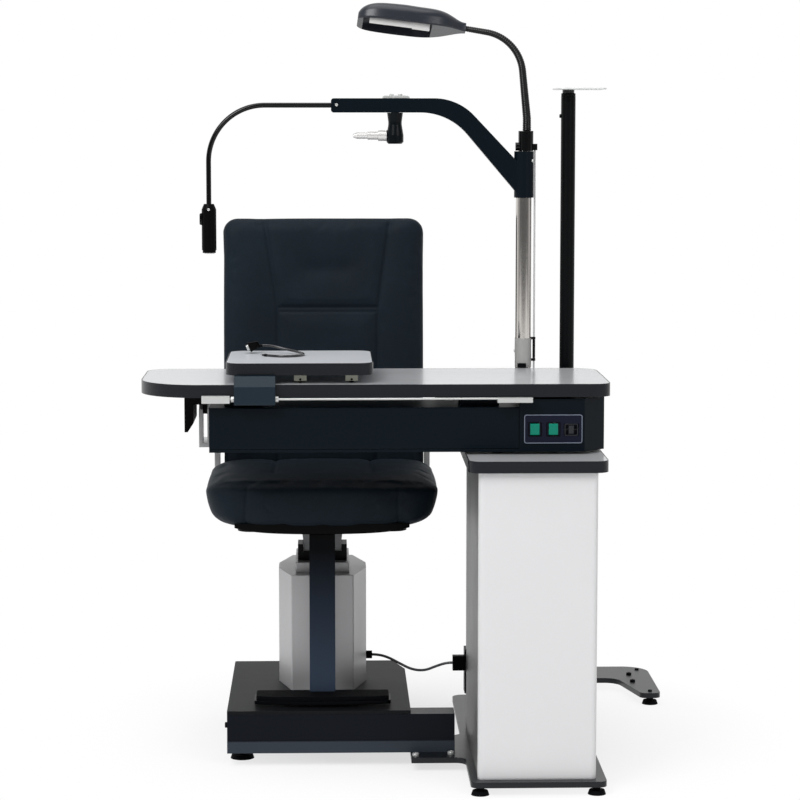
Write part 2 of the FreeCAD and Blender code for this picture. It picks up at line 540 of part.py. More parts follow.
# Seat carrier: a clamp yoke on the pivot, a tapered post and the pan.
yoke_z = f"{plate_z}+lift_plate_thickness+running_gap"
yoke_block = block("yoke_block", "yoke_width", "yoke_depth", "yoke_height", "chair_x-yoke_width/2",
                   "column_y-yoke_depth/2", yoke_z)
ears = [block(f"yoke_ear_{side}", "yoke_ear", "yoke_depth/2", "yoke_height+yoke_ear_rise",
              f"chair_x{side}yoke_width/2{shift}", "column_y-yoke_depth/2", yoke_z)
        for side, shift in (("-", ""), ("+", "-yoke_ear"))]
yoke_bore = rod("yoke_bore", "pivot_radius+running_gap", "pivot_height+slide_gap+cut_overrun", "chair_x",
                "column_y", f"{yoke_z}-cut_overrun")
finish(less("yoke", join("yoke_body", yoke_block, *ears), yoke_bore), "lift_yoke")
post_z = f"{yoke_z}+yoke_height"
post_height = "(seat_bottom-pan_thickness-column_top_z-touch_gap-lift_plate_thickness-running_gap-yoke_height)"
post = doc.addObject("Part::Wedge", "post")
bind(post, Xmin="0-post_low_width/2", Xmax="post_low_width/2", X2min="0-post_high_width/2",
     X2max="post_high_width/2", Zmin="0-post_depth/2", Zmax="post_depth/2", Z2min="0-post_depth/2",
     Z2max="post_depth/2", Ymin="0", Ymax=post_height)
post.Placement.Rotation = FreeCAD.Rotation(RIGHT, 90)
place(post, "chair_x", "column_y", post_z)
finish(post, "seat_post")
pan = outline_pad("pan", "XY_Plane",
                  oblong("chair_x-seat_width/2", "seat_front", "chair_x+seat_width/2",
                         "seat_back")("pan_inset"),
                  "pan_thickness", "seat_bottom-pan_thickness", {"pan_corner": [0, 1, 2, 3]})
finish(pan, "seat_pan")


side_bow_share = 0.5


def bowed_prism(half_x, half_y, corner, bow, height):
    """An upright block about the origin: its front bulges by bow, its other sides by half as much."""
    side = bow * side_bow_share
    spots = [V(-half_x, -half_y), V(half_x, -half_y), V(half_x, half_y), V(-half_x, half_y)]
    middles = [V(0, -half_y - bow), V(half_x + side, 0), V(0, half_y + side), V(-half_x - side, 0)]
    edges = [Part.Arc(start, middle, spots[(number + 1) % 4]).toShape()
             for number, (start, middle) in enumerate(zip(spots, middles))]
    prism = Part.Face(Part.Wire(edges)).extrude(UP * height)
    return prism.makeFillet(corner, [edge for edge in prism.Edges if upright(edge)])


rim_share = 0.6


def crowned(slab, height, crown, low_round, high_round, half_diagonal):
    """The slab with its top cut to a shallow dome and its edges rounded."""
    dome_radius = (half_diagonal ** 2 + crown ** 2) / (2 * crown)
    dome = Part.makeSphere(dome_radius, UP * (height - dome_radius))
    body = slab.common(dome).removeSplitter()
    body = body.makeFillet(low_round, [edge for edge in body.Edges if edge.BoundBox.ZMax < size("running_gap")])
    rim = [edge for edge in body.Edges
           if edge.BoundBox.ZMin > height * rim_share and edge.BoundBox.DiagonalLength > high_round]
    return body.makeFillet(high_round, rim)


def cushion(name, width, depth, thickness, crown, corner, bow, low_round, high_round):
    """A soft block about the origin, crowned on top."""
    slab = bowed_prism(size(width) / 2, size(depth) / 2, size(corner), size(bow), size(thickness))
    reach = math.hypot(size(width) / 2, size(depth) / 2)
    shape = crowned(slab, size(thickness), size(crown), size(low_round), size(high_round), reach)
    return solid(name, shape)


seat = cushion("seat", "seat_width", "seat_back-seat_front", "seat_thickness", "seat_crown", "seat_corner",
               "seat_bow", "seat_low_round", "seat_high_round")
place(seat, "chair_x", "(seat_front+seat_back)/2", "seat_bottom")
finish(seat, "seat_cushion")

# Backrest: a cushion on a shell, leaning back, carried by a bent bar under the seat.
lean = FreeCAD.Rotation(RIGHT, -size("back_lean"))
upright_turn = FreeCAD.Rotation(RIGHT, 90)
back_foot = spot("chair_x+back_shift", "back_front", "back_bottom")
backrest = cushion("backrest", "back_width", "back_height", "back_thickness", "back_crown", "back_corner",
                   "back_bow", "back_round", "back_round")
backrest.Placement = FreeCAD.Placement(back_foot, lean).multiply(FreeCAD.Placement(
    V(0, size("back_thickness"), size("back_height") / 2), upright_turn))
finish(backrest, "backrest_cushion")
shell = block("shell_block", "back_width-2*shell_inset", "back_height-2*shell_inset", "shell_thickness",
              "0-back_width/2+shell_inset", "0-back_height/2+shell_inset", "0")
shell = rounded("shell_corners", shell, "back_corner-shell_inset", upright)
shell = rounded("shell_soft", shell, "shell_round", lambda edge: edge.BoundBox.ZMax < size("running_gap"))
shell.Placement = FreeCAD.Placement(back_foot, lean).multiply(FreeCAD.Placement(
    V(0, size("back_thickness+shell_thickness+touch_gap"), size("back_height") / 2), upright_turn))
finish(shell, "backrest_shell")

bar_y = "(back_front+(back_thickness+shell_thickness+2*touch_gap)/cos(back_lean))"
tan_lean = size("tan(back_lean)")
bar_low = "seat_bottom-pan_thickness-bar_thickness"
bar_shift = size("bar_rise") * tan_lean
foot_shift = size("back_bottom-seat_bottom+pan_thickness+bar_thickness") * tan_lean
bar_outline = Part.makePolygon([
    V(0, size("bar_tongue"), size(bar_low)),
    V(0, size(f"{bar_y}+bar_thickness") - foot_shift, size(bar_low)),
    V(0, size(f"{bar_y}+bar_thickness") - foot_shift + (size("bar_rise")) * tan_lean,
      size(f"{bar_low}+bar_rise")),
    V(0, size(bar_y) - foot_shift + size("bar_rise") * tan_lean, size(f"{bar_low}+bar_rise")),
    V(0, size(bar_y) - foot_shift + size("bar_thickness") * tan_lean, size(f"{bar_low}+bar_thickness")),
    V(0, size("bar_tongue"), size(f"{bar_low}+bar_thickness")),
    V(0, size("bar_tongue"), size(bar_low))])
bar = solid("back_bar", Part.Face(bar_outline).extrude(V(size("bar_width"), 0, 0)))
place(bar, "chair_x-bar_width/2", "0", "0")
finish(bar, "backrest_bar")

# Armrests: brackets cranked out from a cross bar, and pads that hinge on their pins.
cross_low = f"{bar_low}-cross_bar_height"
bracket_bits = [block("cross_bar", "2*strip_offset+2*strip_width", "strip_depth", "cross_bar_height",
                      "chair_x-strip_offset-strip_width", "strip_front", cross_low)]
clevis_gap = "arm_lug_width+2*running_gap"
for side, sign in (("left", "-"), ("right", "+")):
    def inner(offset, width, sign=sign):
        """Where a piece starts whose near face lies at offset from the middle of the chair."""
        return f"chair_x-{offset}-{width}" if sign == "-" else f"chair_x+{offset}"
    bracket_bits += [
        block(f"strip_{side}", "strip_width", "strip_depth", "crank_z-seat_bottom+pan_thickness"
              "+bar_thickness+cross_bar_height+crank_thickness", inner("strip_offset", "strip_width"),
              "strip_front", cross_low),
        block(f"crank_{side}", "clevis_offset-strip_offset+2*clevis_wall+arm_lug_width+2*running_gap",
              "strip_front+strip_depth-arm_pivot_y+clevis_depth/2", "crank_thickness",
              inner("strip_offset", "(clevis_offset-strip_offset+2*clevis_wall+arm_lug_width+2*running_gap)"),
              "arm_pivot_y-clevis_depth/2", "crank_z"),
    ]
    for number, offset in enumerate(("clevis_offset", f"(clevis_offset+clevis_wall+{clevis_gap})")):
        cheek_x = inner(offset, "clevis_wall")
        cheek = block(f"cheek_{side}_{number}", "clevis_wall", "clevis_depth",
                      "arm_pivot_z-crank_z-crank_thickness", cheek_x, "arm_pivot_y-clevis_depth/2",
                      "crank_z+crank_thickness")
        eye = rod(f"eye_{side}_{number}", "arm_lug_radius", "clevis_wall", cheek_x, "arm_pivot_y",
                  "arm_pivot_z", RIGHT)
        bracket_bits += [cheek, eye]
    clevis_span = f"(2*clevis_wall+{clevis_gap})"
    bracket_bits.append(rod(f"arm_pin_{side}", "arm_pin_radius", clevis_span,
                            inner("clevis_offset", clevis_span), "arm_pivot_y", "arm_pivot_z", RIGHT))
finish(join("arm_bracket_body", *bracket_bits), "armrest_brackets")


def armrest(side, sign):
    """A pad with a long outer skirt and a lug that hangs on the bracket pin."""
    def spot(offset, z):
        return (f"chair_x{sign}({offset})", z)
    near, far = "arm_centre-arm_width/2", "arm_centre+arm_width/2"
    points = [spot(near, "arm_top"), spot(near, "arm_top-arm_pad"),
              spot(f"{far}-arm_skirt_width", "arm_top-arm_pad"),
              spot(f"{far}-arm_skirt_width", "arm_skirt+arm_skirt_width"),
              spot(f"{far}-arm_round", "arm_skirt"), spot(far, "arm_skirt"), spot(far, "arm_top")]
    pad = outline_pad(f"arm_pad_{side}", "XZ_Plane", points, "arm_pivot_y-arm_front", "0-arm_pivot_y",
                      {"arm_round": [0, 6], "edge_round": [1]})
    clear = block(f"arm_clear_{side}", "2*arm_width", "2*arm_lug_radius", "arm_top-arm_pad-arm_skirt+"
                  "cut_overrun", f"chair_x{sign}arm_centre-arm_width",
                  "arm_pivot_y-2*arm_lug_radius+slide_gap", "arm_skirt-cut_overrun")
    lug_x = ("chair_x-clevis_offset-clevis_wall-running_gap-arm_lug_width" if sign == "-"
             else "chair_x+clevis_offset+clevis_wall+running_gap")
    lug = rod(f"arm_lug_{side}", "arm_lug_radius", "arm_lug_width", lug_x, "arm_pivot_y", "arm_pivot_z", RIGHT)
    tongue = block(f"arm_tongue_{side}", "arm_lug_width", "2*arm_lug_radius",
                   "arm_top-arm_pad-arm_pivot_z+edge_round", lug_x, "arm_pivot_y-2*arm_lug_radius",
                   "arm_pivot_z")
    bore = rod(f"arm_bore_{side}", "arm_pin_radius+running_gap", "arm_lug_width+2*cut_overrun",
               f"{lug_x}-cut_overrun", "arm_pivot_y", "arm_pivot_z", RIGHT)
    body = join(f"arm_body_{side}", less(f"arm_cut_{side}", pad, clear), lug, tongue)
    return less(f"armrest_{side}_shape", body, bore)


finish(armrest("left", "-"), "armrest_left_pad")
finish(armrest("right", "+"), "armrest_right_pad")

# Footrest: a flat strut hooked under the seat pan, a plate and a ribbed mat.
mat_z = "footrest_bottom+footrest_thickness"
strut = block("strut_bar", "strut_width", "strut_thickness", "seat_bottom-pan_thickness-footrest_bottom"
              "-footrest_thickness", "chair_x-strut_width/2", "strut_front", mat_z)
hook = block("strut_top", "strut_width", "strut_hook", "strut_thickness", "chair_x-strut_width/2",
             "strut_front", "seat_bottom-pan_thickness-strut_thickness")


def footrest_face(inset):
    """The footrest outline: straight back and sides, the front edge bowed forward."""
    half = size("footrest_width") / 2 - inset
    front, back = size("footrest_front") + inset, size("footrest_back") - inset
    bow = V(0, front - size("footrest_bow"), 0)
    edges = [Part.Arc(V(-half, front, 0), bow, V(half, front, 0)).toShape(),
             Part.makeLine(V(half, front, 0), V(half, back, 0)),
             Part.makeLine(V(half, back, 0), V(-half, back, 0)),
             Part.makeLine(V(-half, back, 0), V(-half, front, 0))]
    return Part.Face(Part.Wire(edges))


plate_shape = footrest_face(0).extrude(V(0, 0, size("footrest_thickness")))
plate_shape = plate_shape.makeFillet(size("footrest_corner"), [e for e in plate_shape.Edges if upright(e)])
footrest = solid("footrest", plate_shape)
place(footrest, "chair_x", "0", "footrest_bottom")
finish(join("strut", strut, hook, footrest), "footrest_frame")
mat_shape = footrest_face(size("mat_inset")).extrude(V(0, 0, size("mat_thickness+mat_rib")))
mat_shape = mat_shape.makeFillet(size("footrest_corner-mat_inset"), [e for e in mat_shape.Edges if upright(e)])
groove_count = int(size("footrest_back-footrest_front") / size("mat_pitch"))
for number in range(groove_count + 1):
    groove = Part.makeBox(size("footrest_width"), size("mat_pitch") / 2, size("mat_rib") + size("cut_overrun"),
                          V(-size("footrest_width") / 2,
                            size("footrest_front-footrest_bow/2") + number * size("mat_pitch"),
                            size("mat_thickness")))
    mat_shape = mat_shape.cut(groove)
mat_shape = mat_shape.cut(Part.makeBox(
    size("strut_width+2*touch_gap"), size("strut_thickness+2*touch_gap"), size("mat_thickness+mat_rib+2*mat_thickness"),
    V(-size("strut_width/2+touch_gap"), size("strut_front-touch_gap"), -size("mat_thickness"))))
mat = solid("mat", mat_shape.removeSplitter())
place(mat, "chair_x", "0", mat_z)
finish(mat, "footrest_mat")

# Turning plate, housing with its drawer bay and control box, and the switch panel.
turn_plate_z = f"{board_top}+turntable_ring+running_gap"
disc = rod("turn_disc", "turntable_radius", f"housing_bottom-({turn_plate_z})", "swing_x", "swing_y",
           turn_plate_z)
hub = rod("turn_hub", "turntable_hub", "turntable_hub_rise", "swing_x", "swing_y", "housing_bottom")
hub_bore = rod("turn_bore", "turntable_pin+running_gap", "turntable_hub_rise+turntable_bore_depth",
               "swing_x", "swing_y", f"{turn_plate_z}-cut_overrun")
finish(less("turn_plate", join("turn_plate_body", disc, hub), hub_bore), "turntable_plate")


def housing_outline(inset, left):
    """The housing outline with its slanted flank, from the given left side."""
    return [(f"{left}+{inset}", f"housing_front+{inset}"), (f"housing_right-{inset}/2", f"housing_front+{inset}"),
            (f"flank_right-{inset}", f"flank_front+{inset}/2"), (f"flank_right-{inset}", f"housing_back-{inset}"),
            (f"{left}+{inset}", f"housing_back-{inset}")]


shell_block = outline_pad("housing_block", "XY_Plane", housing_outline("0", "housing_left"),
                          "housing_top-housing_bottom", "housing_bottom")
over_bay = block("over_bay", "bay_split-housing_left+cut_overrun", "housing_back-housing_front+2*cut_overrun",
                 "housing_top-bay_top+cut_overrun", "housing_left-cut_overrun", "housing_front-cut_overrun",
                 "bay_top")
panel_bay = block("drawer_panel_room", "bay_split-housing_left+cut_overrun",
                  "drawer_panel+touch_gap+cut_overrun", "bay_top-drawer_bottom+touch_gap",
                  "housing_left-cut_overrun", "housing_front-cut_overrun", "drawer_bottom-touch_gap")
bay = block("drawer_bay", "bay_split-housing_left-2*housing_wall",
            "housing_back-housing_front-drawer_panel-housing_wall",
            "bay_top-housing_bottom-2*housing_wall", "housing_left+housing_wall",
            "housing_front+drawer_panel", "housing_bottom+housing_wall")
switch_room = outline_pad("switch_room", "XY_Plane", housing_outline("housing_wall", "bay_split"),
                          "housing_top-housing_bottom-2*housing_wall", "housing_bottom+housing_wall")
window = block("switch_window", "panel_width-2*window_margin", "housing_wall+2*cut_overrun",
               "panel_height-2*window_margin", "panel_left+window_margin", "housing_front-cut_overrun",
               "panel_bottom+window_margin")
floor_hole = rod("housing_floor_hole", "turntable_hub+touch_gap", "housing_wall+2*cut_overrun", "swing_x",
                 "swing_y", "housing_bottom-cut_overrun")
rear_port = block("housing_port", "cable_port", "housing_wall+2*cut_overrun", "cable_port",
                  "housing_right-2*cable_port", "housing_back-housing_wall-cut_overrun",
                  "housing_top-2*cable_port")
hollow = less("housing_hollow", shell_block, over_bay, panel_bay, bay, switch_room, window, floor_hole,
              rear_port)
runners = [block(f"runner_{number}", "runner_width", "housing_back-housing_front-drawer_panel-housing_wall",
                 "drawer_bottom-housing_bottom-housing_wall", left, "housing_front+drawer_panel",
                 "housing_bottom+housing_wall")
           for number, left in enumerate(("housing_left+housing_wall", "bay_split-housing_wall-runner_width"))]
table_bottom = "table_top-table_thickness"
risers = [block(f"riser_{number}", "cable_port*2", "housing_back-riser_front-riser_inset",
                f"{table_bottom}-{low}", left, "riser_front", low)
          for number, (left, low) in enumerate((("housing_left+riser_inset", "bay_top"),
                                                ("bay_split-cable_port*3", "bay_top"),
                                                ("bay_split+riser_inset", "housing_top")))]
finish(join("housing", hollow, *runners, *risers), "table_housing")

# Drawer: a front across the bay and an open box that runs on the ledges.
drawer_y = "housing_front+drawer_panel"
front_plate = block("drawer_plate", "bay_split-housing_left-slide_gap", "drawer_panel",
                    "bay_top-drawer_bottom", "housing_left", "housing_front", "drawer_bottom")
front_plate = rounded("drawer_plate_soft", front_plate, "housing_wall",
                      lambda edge: crosswise(edge) and edge.BoundBox.YMax < size("housing_front+running_gap"))
finish(front_plate, "drawer_front")
drawer_left = "housing_left+housing_wall+slide_gap"
drawer_long = "bay_split-housing_left-2*housing_wall-2*slide_gap"
drawer_deep = "housing_back-housing_front-drawer_panel-housing_wall-slide_gap-drawer_lip"
box = block("drawer_outer", drawer_long, drawer_deep, "drawer_height", drawer_left, drawer_y,
            "drawer_bottom+running_gap")
room = block("drawer_inner", f"{drawer_long}-2*drawer_wall", f"{drawer_deep}-2*drawer_wall", "drawer_height",
             f"{drawer_left}+drawer_wall", f"{drawer_y}+drawer_wall", "drawer_bottom+running_gap+drawer_wall")
finish(less("drawer", box, room), "drawer_box")

# Switch panel with a cradle behind each rocker and a cup for the lift lever.
face_y = "housing_front-panel_thickness"
plate = block("panel_plate", "panel_width", "panel_thickness", "panel_height", "panel_left", face_y,
              "panel_bottom")
plate = rounded("panel_soft", plate, "edge_round", lambda edge: straight(edge, DEEP))
axle_y = "housing_front+axle_depth"
panel_adds, panel_cuts = [], []
for number, middle in enumerate(("rocker_first", "rocker_second")):
    panel_cuts.append(block(f"rocker_hole_{number}", "rocker_width+2*cradle_gap",
                            "panel_thickness+2*cut_overrun", "rocker_height+2*rocker_play",
                            f"{middle}-rocker_width/2-cradle_gap", f"{face_y}-cut_overrun",
                            "rocker_z-rocker_height/2-rocker_play"))
    for side, left in enumerate((f"{middle}-rocker_width/2-cradle_gap-cradle_wall",
                                 f"{middle}+rocker_width/2+cradle_gap")):
        panel_adds.append(block(f"cradle_{number}_{side}", "cradle_wall", "cradle_depth", "cradle_height",
                                left, f"{face_y}+panel_thickness/2", "rocker_z-cradle_height/2"))
    panel_cuts.append(rod(f"cradle_bore_{number}", "axle_radius+running_gap",
                          "rocker_width+4*cradle_wall+2*cradle_gap",
                          f"{middle}-rocker_width/2-cradle_gap-2*cradle_wall", axle_y, "rocker_z", RIGHT))
cup = block("cup_outer", "cup_width", "cup_depth+panel_thickness/2", "cup_height", "lever_x-cup_width/2",
            f"{face_y}+panel_thickness/2", "lever_z-cup_height/2")
panel_cuts.append(block("cup_inner", "cup_width-2*cup_wall", "cup_depth+cut_overrun",
                        "cup_height-2*cup_wall", "lever_x-cup_width/2+cup_wall", f"{face_y}-cut_overrun",
                        "lever_z-cup_height/2+cup_wall"))
panel_cuts.append(rod("lever_bore", "axle_radius+running_gap", "cup_width+2*cut_overrun",
                      "lever_x-cup_width/2-cut_overrun", axle_y, "lever_z", RIGHT))
finish(less("panel", join("panel_body", plate, cup, *panel_adds), *panel_cuts), "control_panel")


def rocker(name, middle):
    """A rocker cap with its axle."""
    cap = block(f"{name}_cap", "rocker_width", "rocker_depth+rocker_proud", "rocker_height",
                f"{middle}-rocker_width/2", f"{face_y}-rocker_proud", "rocker_z-rocker_height/2")
    cap = rounded(f"{name}_soft", cap, "housing_wall", crosswise)
    axle_left = f"{middle}-rocker_width/2-cradle_gap-cradle_wall"
    axle = rod(f"{name}_axle", "axle_radius", "rocker_width+2*cradle_gap+2*cradle_wall", axle_left, axle_y,
               "rocker_z", RIGHT)
    return join(name, cap, axle)


finish(rocker("rocker_one", "rocker_first"), "rocker_left")
finish(rocker("rocker_two", "rocker_second"), "rocker_right")
lever = block("lever_cap", "lever_width", "lever_depth", "lever_height", "lever_x-lever_width/2",
              "housing_front+axle_depth-lever_depth+edge_round", "lever_z-lever_height/2")
lever = rounded("lever_soft", lever, "housing_wall", crosswise)
lever_axle = rod("lever_axle", "axle_radius", "cup_width", "lever_x-cup_width/2", axle_y, "lever_z", RIGHT)
finish(join("lever", lever, lever_axle), "lift_switch")

# Instrument tabletop and its dark edge band.
table_outline = oblong("table_left", "table_front", "table_right", "table_back")


def table_rounds(inset):
    return {f"table_nose-{inset}": [0], f"table_right_front-{inset}": [1],
            f"table_right_back-{inset}": [2], f"table_tail-{inset}": [3]}


board = outline_pad("table_board", "XY_Plane", table_outline("edge_band"), "table_thickness", table_bottom,
                    table_rounds("edge_band"))
finish(board, "tabletop")
finish(ring("table_band", table_outline, "table_thickness", "edge_band", table_bottom, table_rounds),
       "tabletop_edge")

# Rail in front of the tabletop with a block at each end.
bar = rod("rail_bar", "rail_radius", "rail_right-rail_left", "rail_left", "rail_y", "rail_z", RIGHT)
rail_bits = [bar]
for side, left, width, top in (("left", "rail_left", "rail_block_left", "rail_block_lip"),
                               ("right", "rail_right-rail_block_right", "rail_block_right", table_bottom)):
    rail_bits.append(block(f"rail_block_{side}", width, "housing_front-touch_gap-rail_block_front",
                           f"{table_bottom}-rail_block_bottom", left, "rail_block_front",
                           "rail_block_bottom"))
    rail_bits.append(block(f"rail_lip_{side}", width, "table_front-rail_block_clear-rail_block_front",
                           f"{top}-rail_block_bottom", left, "rail_block_front", "rail_block_bottom"))
finish(join("rail", *rail_bits), "tray_rail")

# Sliding tray: board, edge band, the hook on the rail and two roller pairs in forks.
tray_outline = oblong("tray_left", "tray_front", "tray_left+tray_width", "tray_front+tray_depth")
board = outline_pad("tray_slab", "XY_Plane", tray_outline("edge_band"), "tray_thickness", "tray_bottom",
                    {"tray_corner-edge_band": [0, 1, 2, 3]})
finish(board, "tray_board")
finish(ring("tray_band", tray_outline, "tray_thickness", "edge_band", "tray_bottom",
            lambda inset: {f"tray_corner-{inset}": [0, 1, 2, 3]}), "tray_edge")
hook_points = [("hook_front", "hook_bottom"), ("hook_back", "hook_bottom"), ("hook_back", "hook_arm_z"),
               ("hook_reach", "hook_arm_z"), ("hook_reach", "tray_bottom"), ("hook_bevel_y", "tray_bottom"),
               ("hook_front", "hook_bevel_z")]
hook = outline_pad("hook_body", "YZ_Plane", hook_points, "hook_width", "hook_left", {"edge_round": [0, 6]})
hook_bore = rod("hook_bore", "rail_radius+running_gap", "hook_width+2*cut_overrun", "hook_left-cut_overrun",
                "rail_y", "rail_z", RIGHT)
finish(less("hook", hook, hook_bore), "tray_bracket")

roller_z = "table_top+running_gap+roller_radius"
fork_wide = "(roller_width+2*slide_gap+2*fork_wall)"


def roller_spots(middle):
    """Where each fork of a roller pair starts along the tray."""
    return [f"roller_front-{fork_wide}/2", f"roller_front+roller_span-{fork_wide}/2"]


forks = []
for side, middle in (("left", "roller_first"), ("right", "roller_second")):
    for number, start in enumerate(roller_spots(middle)):
        name = f"fork_{side}_{number}"
        outer = block(name, "fork_length", fork_wide, "fork_drop", f"{middle}-fork_length/2", start,
                      "tray_bottom-fork_drop")
        inner = block(f"{name}_room", "fork_length+2*cut_overrun", "roller_width+2*slide_gap",
                      "fork_drop-fork_roof+cut_overrun", f"{middle}-fork_length/2-cut_overrun",
                      f"{start}+fork_wall", "tray_bottom-fork_drop-cut_overrun")
        bore = rod(f"{name}_bore", "roller_axle+running_gap", f"{fork_wide}+2*cut_overrun", middle,
                   f"{start}-cut_overrun", roller_z, DEEP)
        forks.append(less(f"{name}_cut", outer, inner, bore))
finish(group("fork_set", *forks), "roller_forks")
for side, middle in (("left", "roller_first"), ("right", "roller_second")):
    axle = rod(f"roller_axle_{side}", "roller_axle", f"roller_span+{fork_wide}", middle,
               f"roller_front-{fork_wide}/2", roller_z, DEEP)
    wheels = [rod(f"wheel_{side}_{number}", "roller_radius", "roller_width", middle,
                  f"{start}+fork_wall+slide_gap", roller_z, DEEP)
              for number, start in enumerate(roller_spots(middle))]
    finish(join(f"roller_{side}_shape", axle, *wheels), f"roller_{side}")

# Poles on a bracket behind the housing: the chrome pole and the projector mast.
socket_height = "bracket_top-bracket_bottom"
pole_socket = rod("pole_socket", "pole_radius+socket_wall", socket_height, "pole_x", "pole_y", "bracket_bottom")
mast_socket = rod("mast_socket", "mast_radius+socket_wall", socket_height, "mast_x", "mast_y", "bracket_bottom")
bracket_left = "pole_x-pole_radius-socket_wall"
bracket_long = "mast_x+mast_radius+2*socket_wall+pole_radius-pole_x"
base_plate = block("bracket_plate", bracket_long, "pole_y-housing_back+bracket_web", "bracket_wall",
                   bracket_left, "housing_back", "bracket_bottom")
flange = block("bracket_flange", bracket_long, "bracket_wall", "bay_top-bracket_bottom", bracket_left,
               "housing_back", "bracket_bottom")
webs = [block(f"bracket_web_{number}", "bracket_web", f"{deep}-housing_back", "bay_top-bracket_bottom",
              f"{across}-bracket_web/2", "housing_back", "bracket_bottom")
        for number, (across, deep) in enumerate((("pole_x", "pole_y"), ("mast_x", "mast_y")))]
pole_bore = rod("pole_bore", "pole_radius", "bracket_top", "pole_x", "pole_y", "pole_foot")
mast_bore = rod("mast_bore", "mast_radius", "bracket_top", "mast_x", "mast_y", "pole_foot")
flange_port = block("flange_port", "cable_port", "bracket_wall+2*cut_overrun", "cable_port",
                    "housing_right-2*cable_port", "housing_back-cut_overrun", "housing_top-2*cable_port")
finish(less("bracket", join("bracket_body", pole_socket, mast_socket, base_plate, flange, *webs),
            pole_bore, mast_bore, flange_port), "pole_bracket")
pole = join("pole", rod("pole_shaft", "pole_radius", "pole_shoulder-pole_foot", "pole_x", "pole_y", "pole_foot"),
            rod("pole_journal", "journal_radius", "pole_top-pole_shoulder", "pole_x", "pole_y",
                "pole_shoulder"),
            rod("pole_spigot", "spigot_radius", "spigot_height", "pole_x", "pole_y", "pole_top"))
finish(pole, "chrome_pole")
finish(rod("cable_run", "cable_radius", "lug_low-bracket_bottom-bracket_wall", "pole_x+cable_offset",
           "pole_y", "bracket_bottom+bracket_wall"), "pole_cable")
mast = less("mast", rod("mast_tube", "mast_radius", "mast_top-pole_foot", "mast_x", "mast_y", "pole_foot"),
            rod("mast_room", "mast_radius-mast_wall", "mast_top", "mast_x", "mast_y",
                "pole_foot+mast_wall"))
finish(mast, "projector_mast")
collar_z = "mast_top+touch_gap"
stem = join("stem", rod("stem_shaft", "mast_radius-mast_wall-running_gap", f"{collar_z}-stem_grip",
                        "mast_x", "mast_y", "stem_grip"),
            rod("stem_ring", "stem_collar", "stem_collar_height", "mast_x", "mast_y", collar_z),
            rod("stem_pin", "stem_pin_radius", "stem_collar_height+stem_pin_height", "mast_x", "mast_y",
                collar_z))
finish(stem, "projector_stem")
hub_z = f"{collar_z}+stem_collar_height+running_gap"
shelf_plate = block("shelf_plate", "shelf_right-shelf_left", "shelf_back-shelf_front", "shelf_thickness",
                    "shelf_left", "shelf_front", "shelf_bottom")
shelf_plate = rounded("shelf_soft", shelf_plate, "shelf_corner", upright)
shelf_hub = rod("shelf_hub", "hub_radius", f"shelf_bottom-({hub_z})", "mast_x", "mast_y", hub_z)
shelf_bore = rod("shelf_bore", "stem_pin_radius+running_gap", "stem_pin_height+slide_gap+cut_overrun",
                 "mast_x", "mast_y", f"{hub_z}-cut_overrun")
finish(less("shelf", join("shelf_body", shelf_plate, shelf_hub), shelf_bore), "projector_shelf")

# Refractor arm: a boss on the pole journal, a slanted leg and a level beam.
arm_points = [("beam_end", "beam_low"), ("elbow_inner_x", "beam_low"), ("leg_x", "leg_low"),
              ("leg_x", "leg_high"), ("elbow_outer_x", "beam_high"), ("beam_end", "beam_high")]
beam = outline_pad("arm_beam", "XZ_Plane", arm_points, "beam_thick", "0-pole_y",
                   {"elbow_inner_round": [1], "elbow_outer_round": [4], "beam_chamfer": [0, 5]}, True)
boss = rod("arm_boss", "boss_radius", "boss_top-boss_bottom", "pole_x", "pole_y", "boss_bottom")
boss_bore = rod("boss_bore", "journal_radius+running_gap", "pole_top", "pole_x", "pole_y",
                "boss_bottom-cut_overrun")
hanger_bore = rod("hanger_bore", "hanger_bore_radius+running_gap", "hanger_bore_depth+cut_overrun",
                  "hanger_x", "pole_y", "beam_low-cut_overrun")
neck_bore = rod("neck_bore", "near_neck_radius+running_gap", "near_grip+slide_gap+cut_overrun",
                "beam_end-cut_overrun", "pole_y", "near_neck_z", RIGHT)
finish(less("arm", join("arm_body", beam, boss), boss_bore, hanger_bore, neck_bore), "refractor_arm")

LEFT = V(-1, 0, 0)
waist_top = "hanger_top-hanger_cap"
hip_low = f"{waist_top}-hanger_waist-hanger_hip"
hanger_bits = [
    rod("hanger_stem", "hanger_bore_radius", "hanger_bore_depth-slide_gap+hanger_chamfer", "hanger_x",
        "pole_y", "hanger_top-hanger_chamfer"),
    cone("hanger_flare", "hanger_waist_radius", "hanger_cap_radius", "hanger_cap", "hanger_x", "pole_y",
         waist_top),
    rod("hanger_neck", "hanger_waist_radius", "hanger_waist", "hanger_x", "pole_y",
        f"{waist_top}-hanger_waist"),
    cone("hanger_widening", "hanger_radius", "hanger_waist_radius", "hanger_hip", "hanger_x", "pole_y", hip_low),
    rod("hanger_barrel", "hanger_radius", f"{hip_low}-hanger_bottom-hanger_chamfer", "hanger_x", "pole_y",
        "hanger_bottom+hanger_chamfer"),
    cone("hanger_toe", "hanger_radius-hanger_chamfer", "hanger_radius", "hanger_chamfer", "hanger_x",
         "pole_y", "hanger_bottom"),
    rod("hanger_pin_root", "pin_radius", "pin_first_step", "hanger_x", "pole_y", "pin_z", LEFT),
    rod("hanger_pin_mid", "pin_mid_radius", "pin_second_step", "hanger_x", "pole_y", "pin_z", LEFT),
    rod("hanger_pin_tip", "pin_tip_radius", "pin_reach", "hanger_x", "pole_y", "pin_z", LEFT),
    cone("hanger_pin_nose", "pin_tip_radius", "pin_tip_radius/2", "pin_nose", "hanger_x-pin_reach", "pole_y",
         "pin_z", LEFT),
]
finish(join("hanger", *hanger_bits), "refractor_hanger")


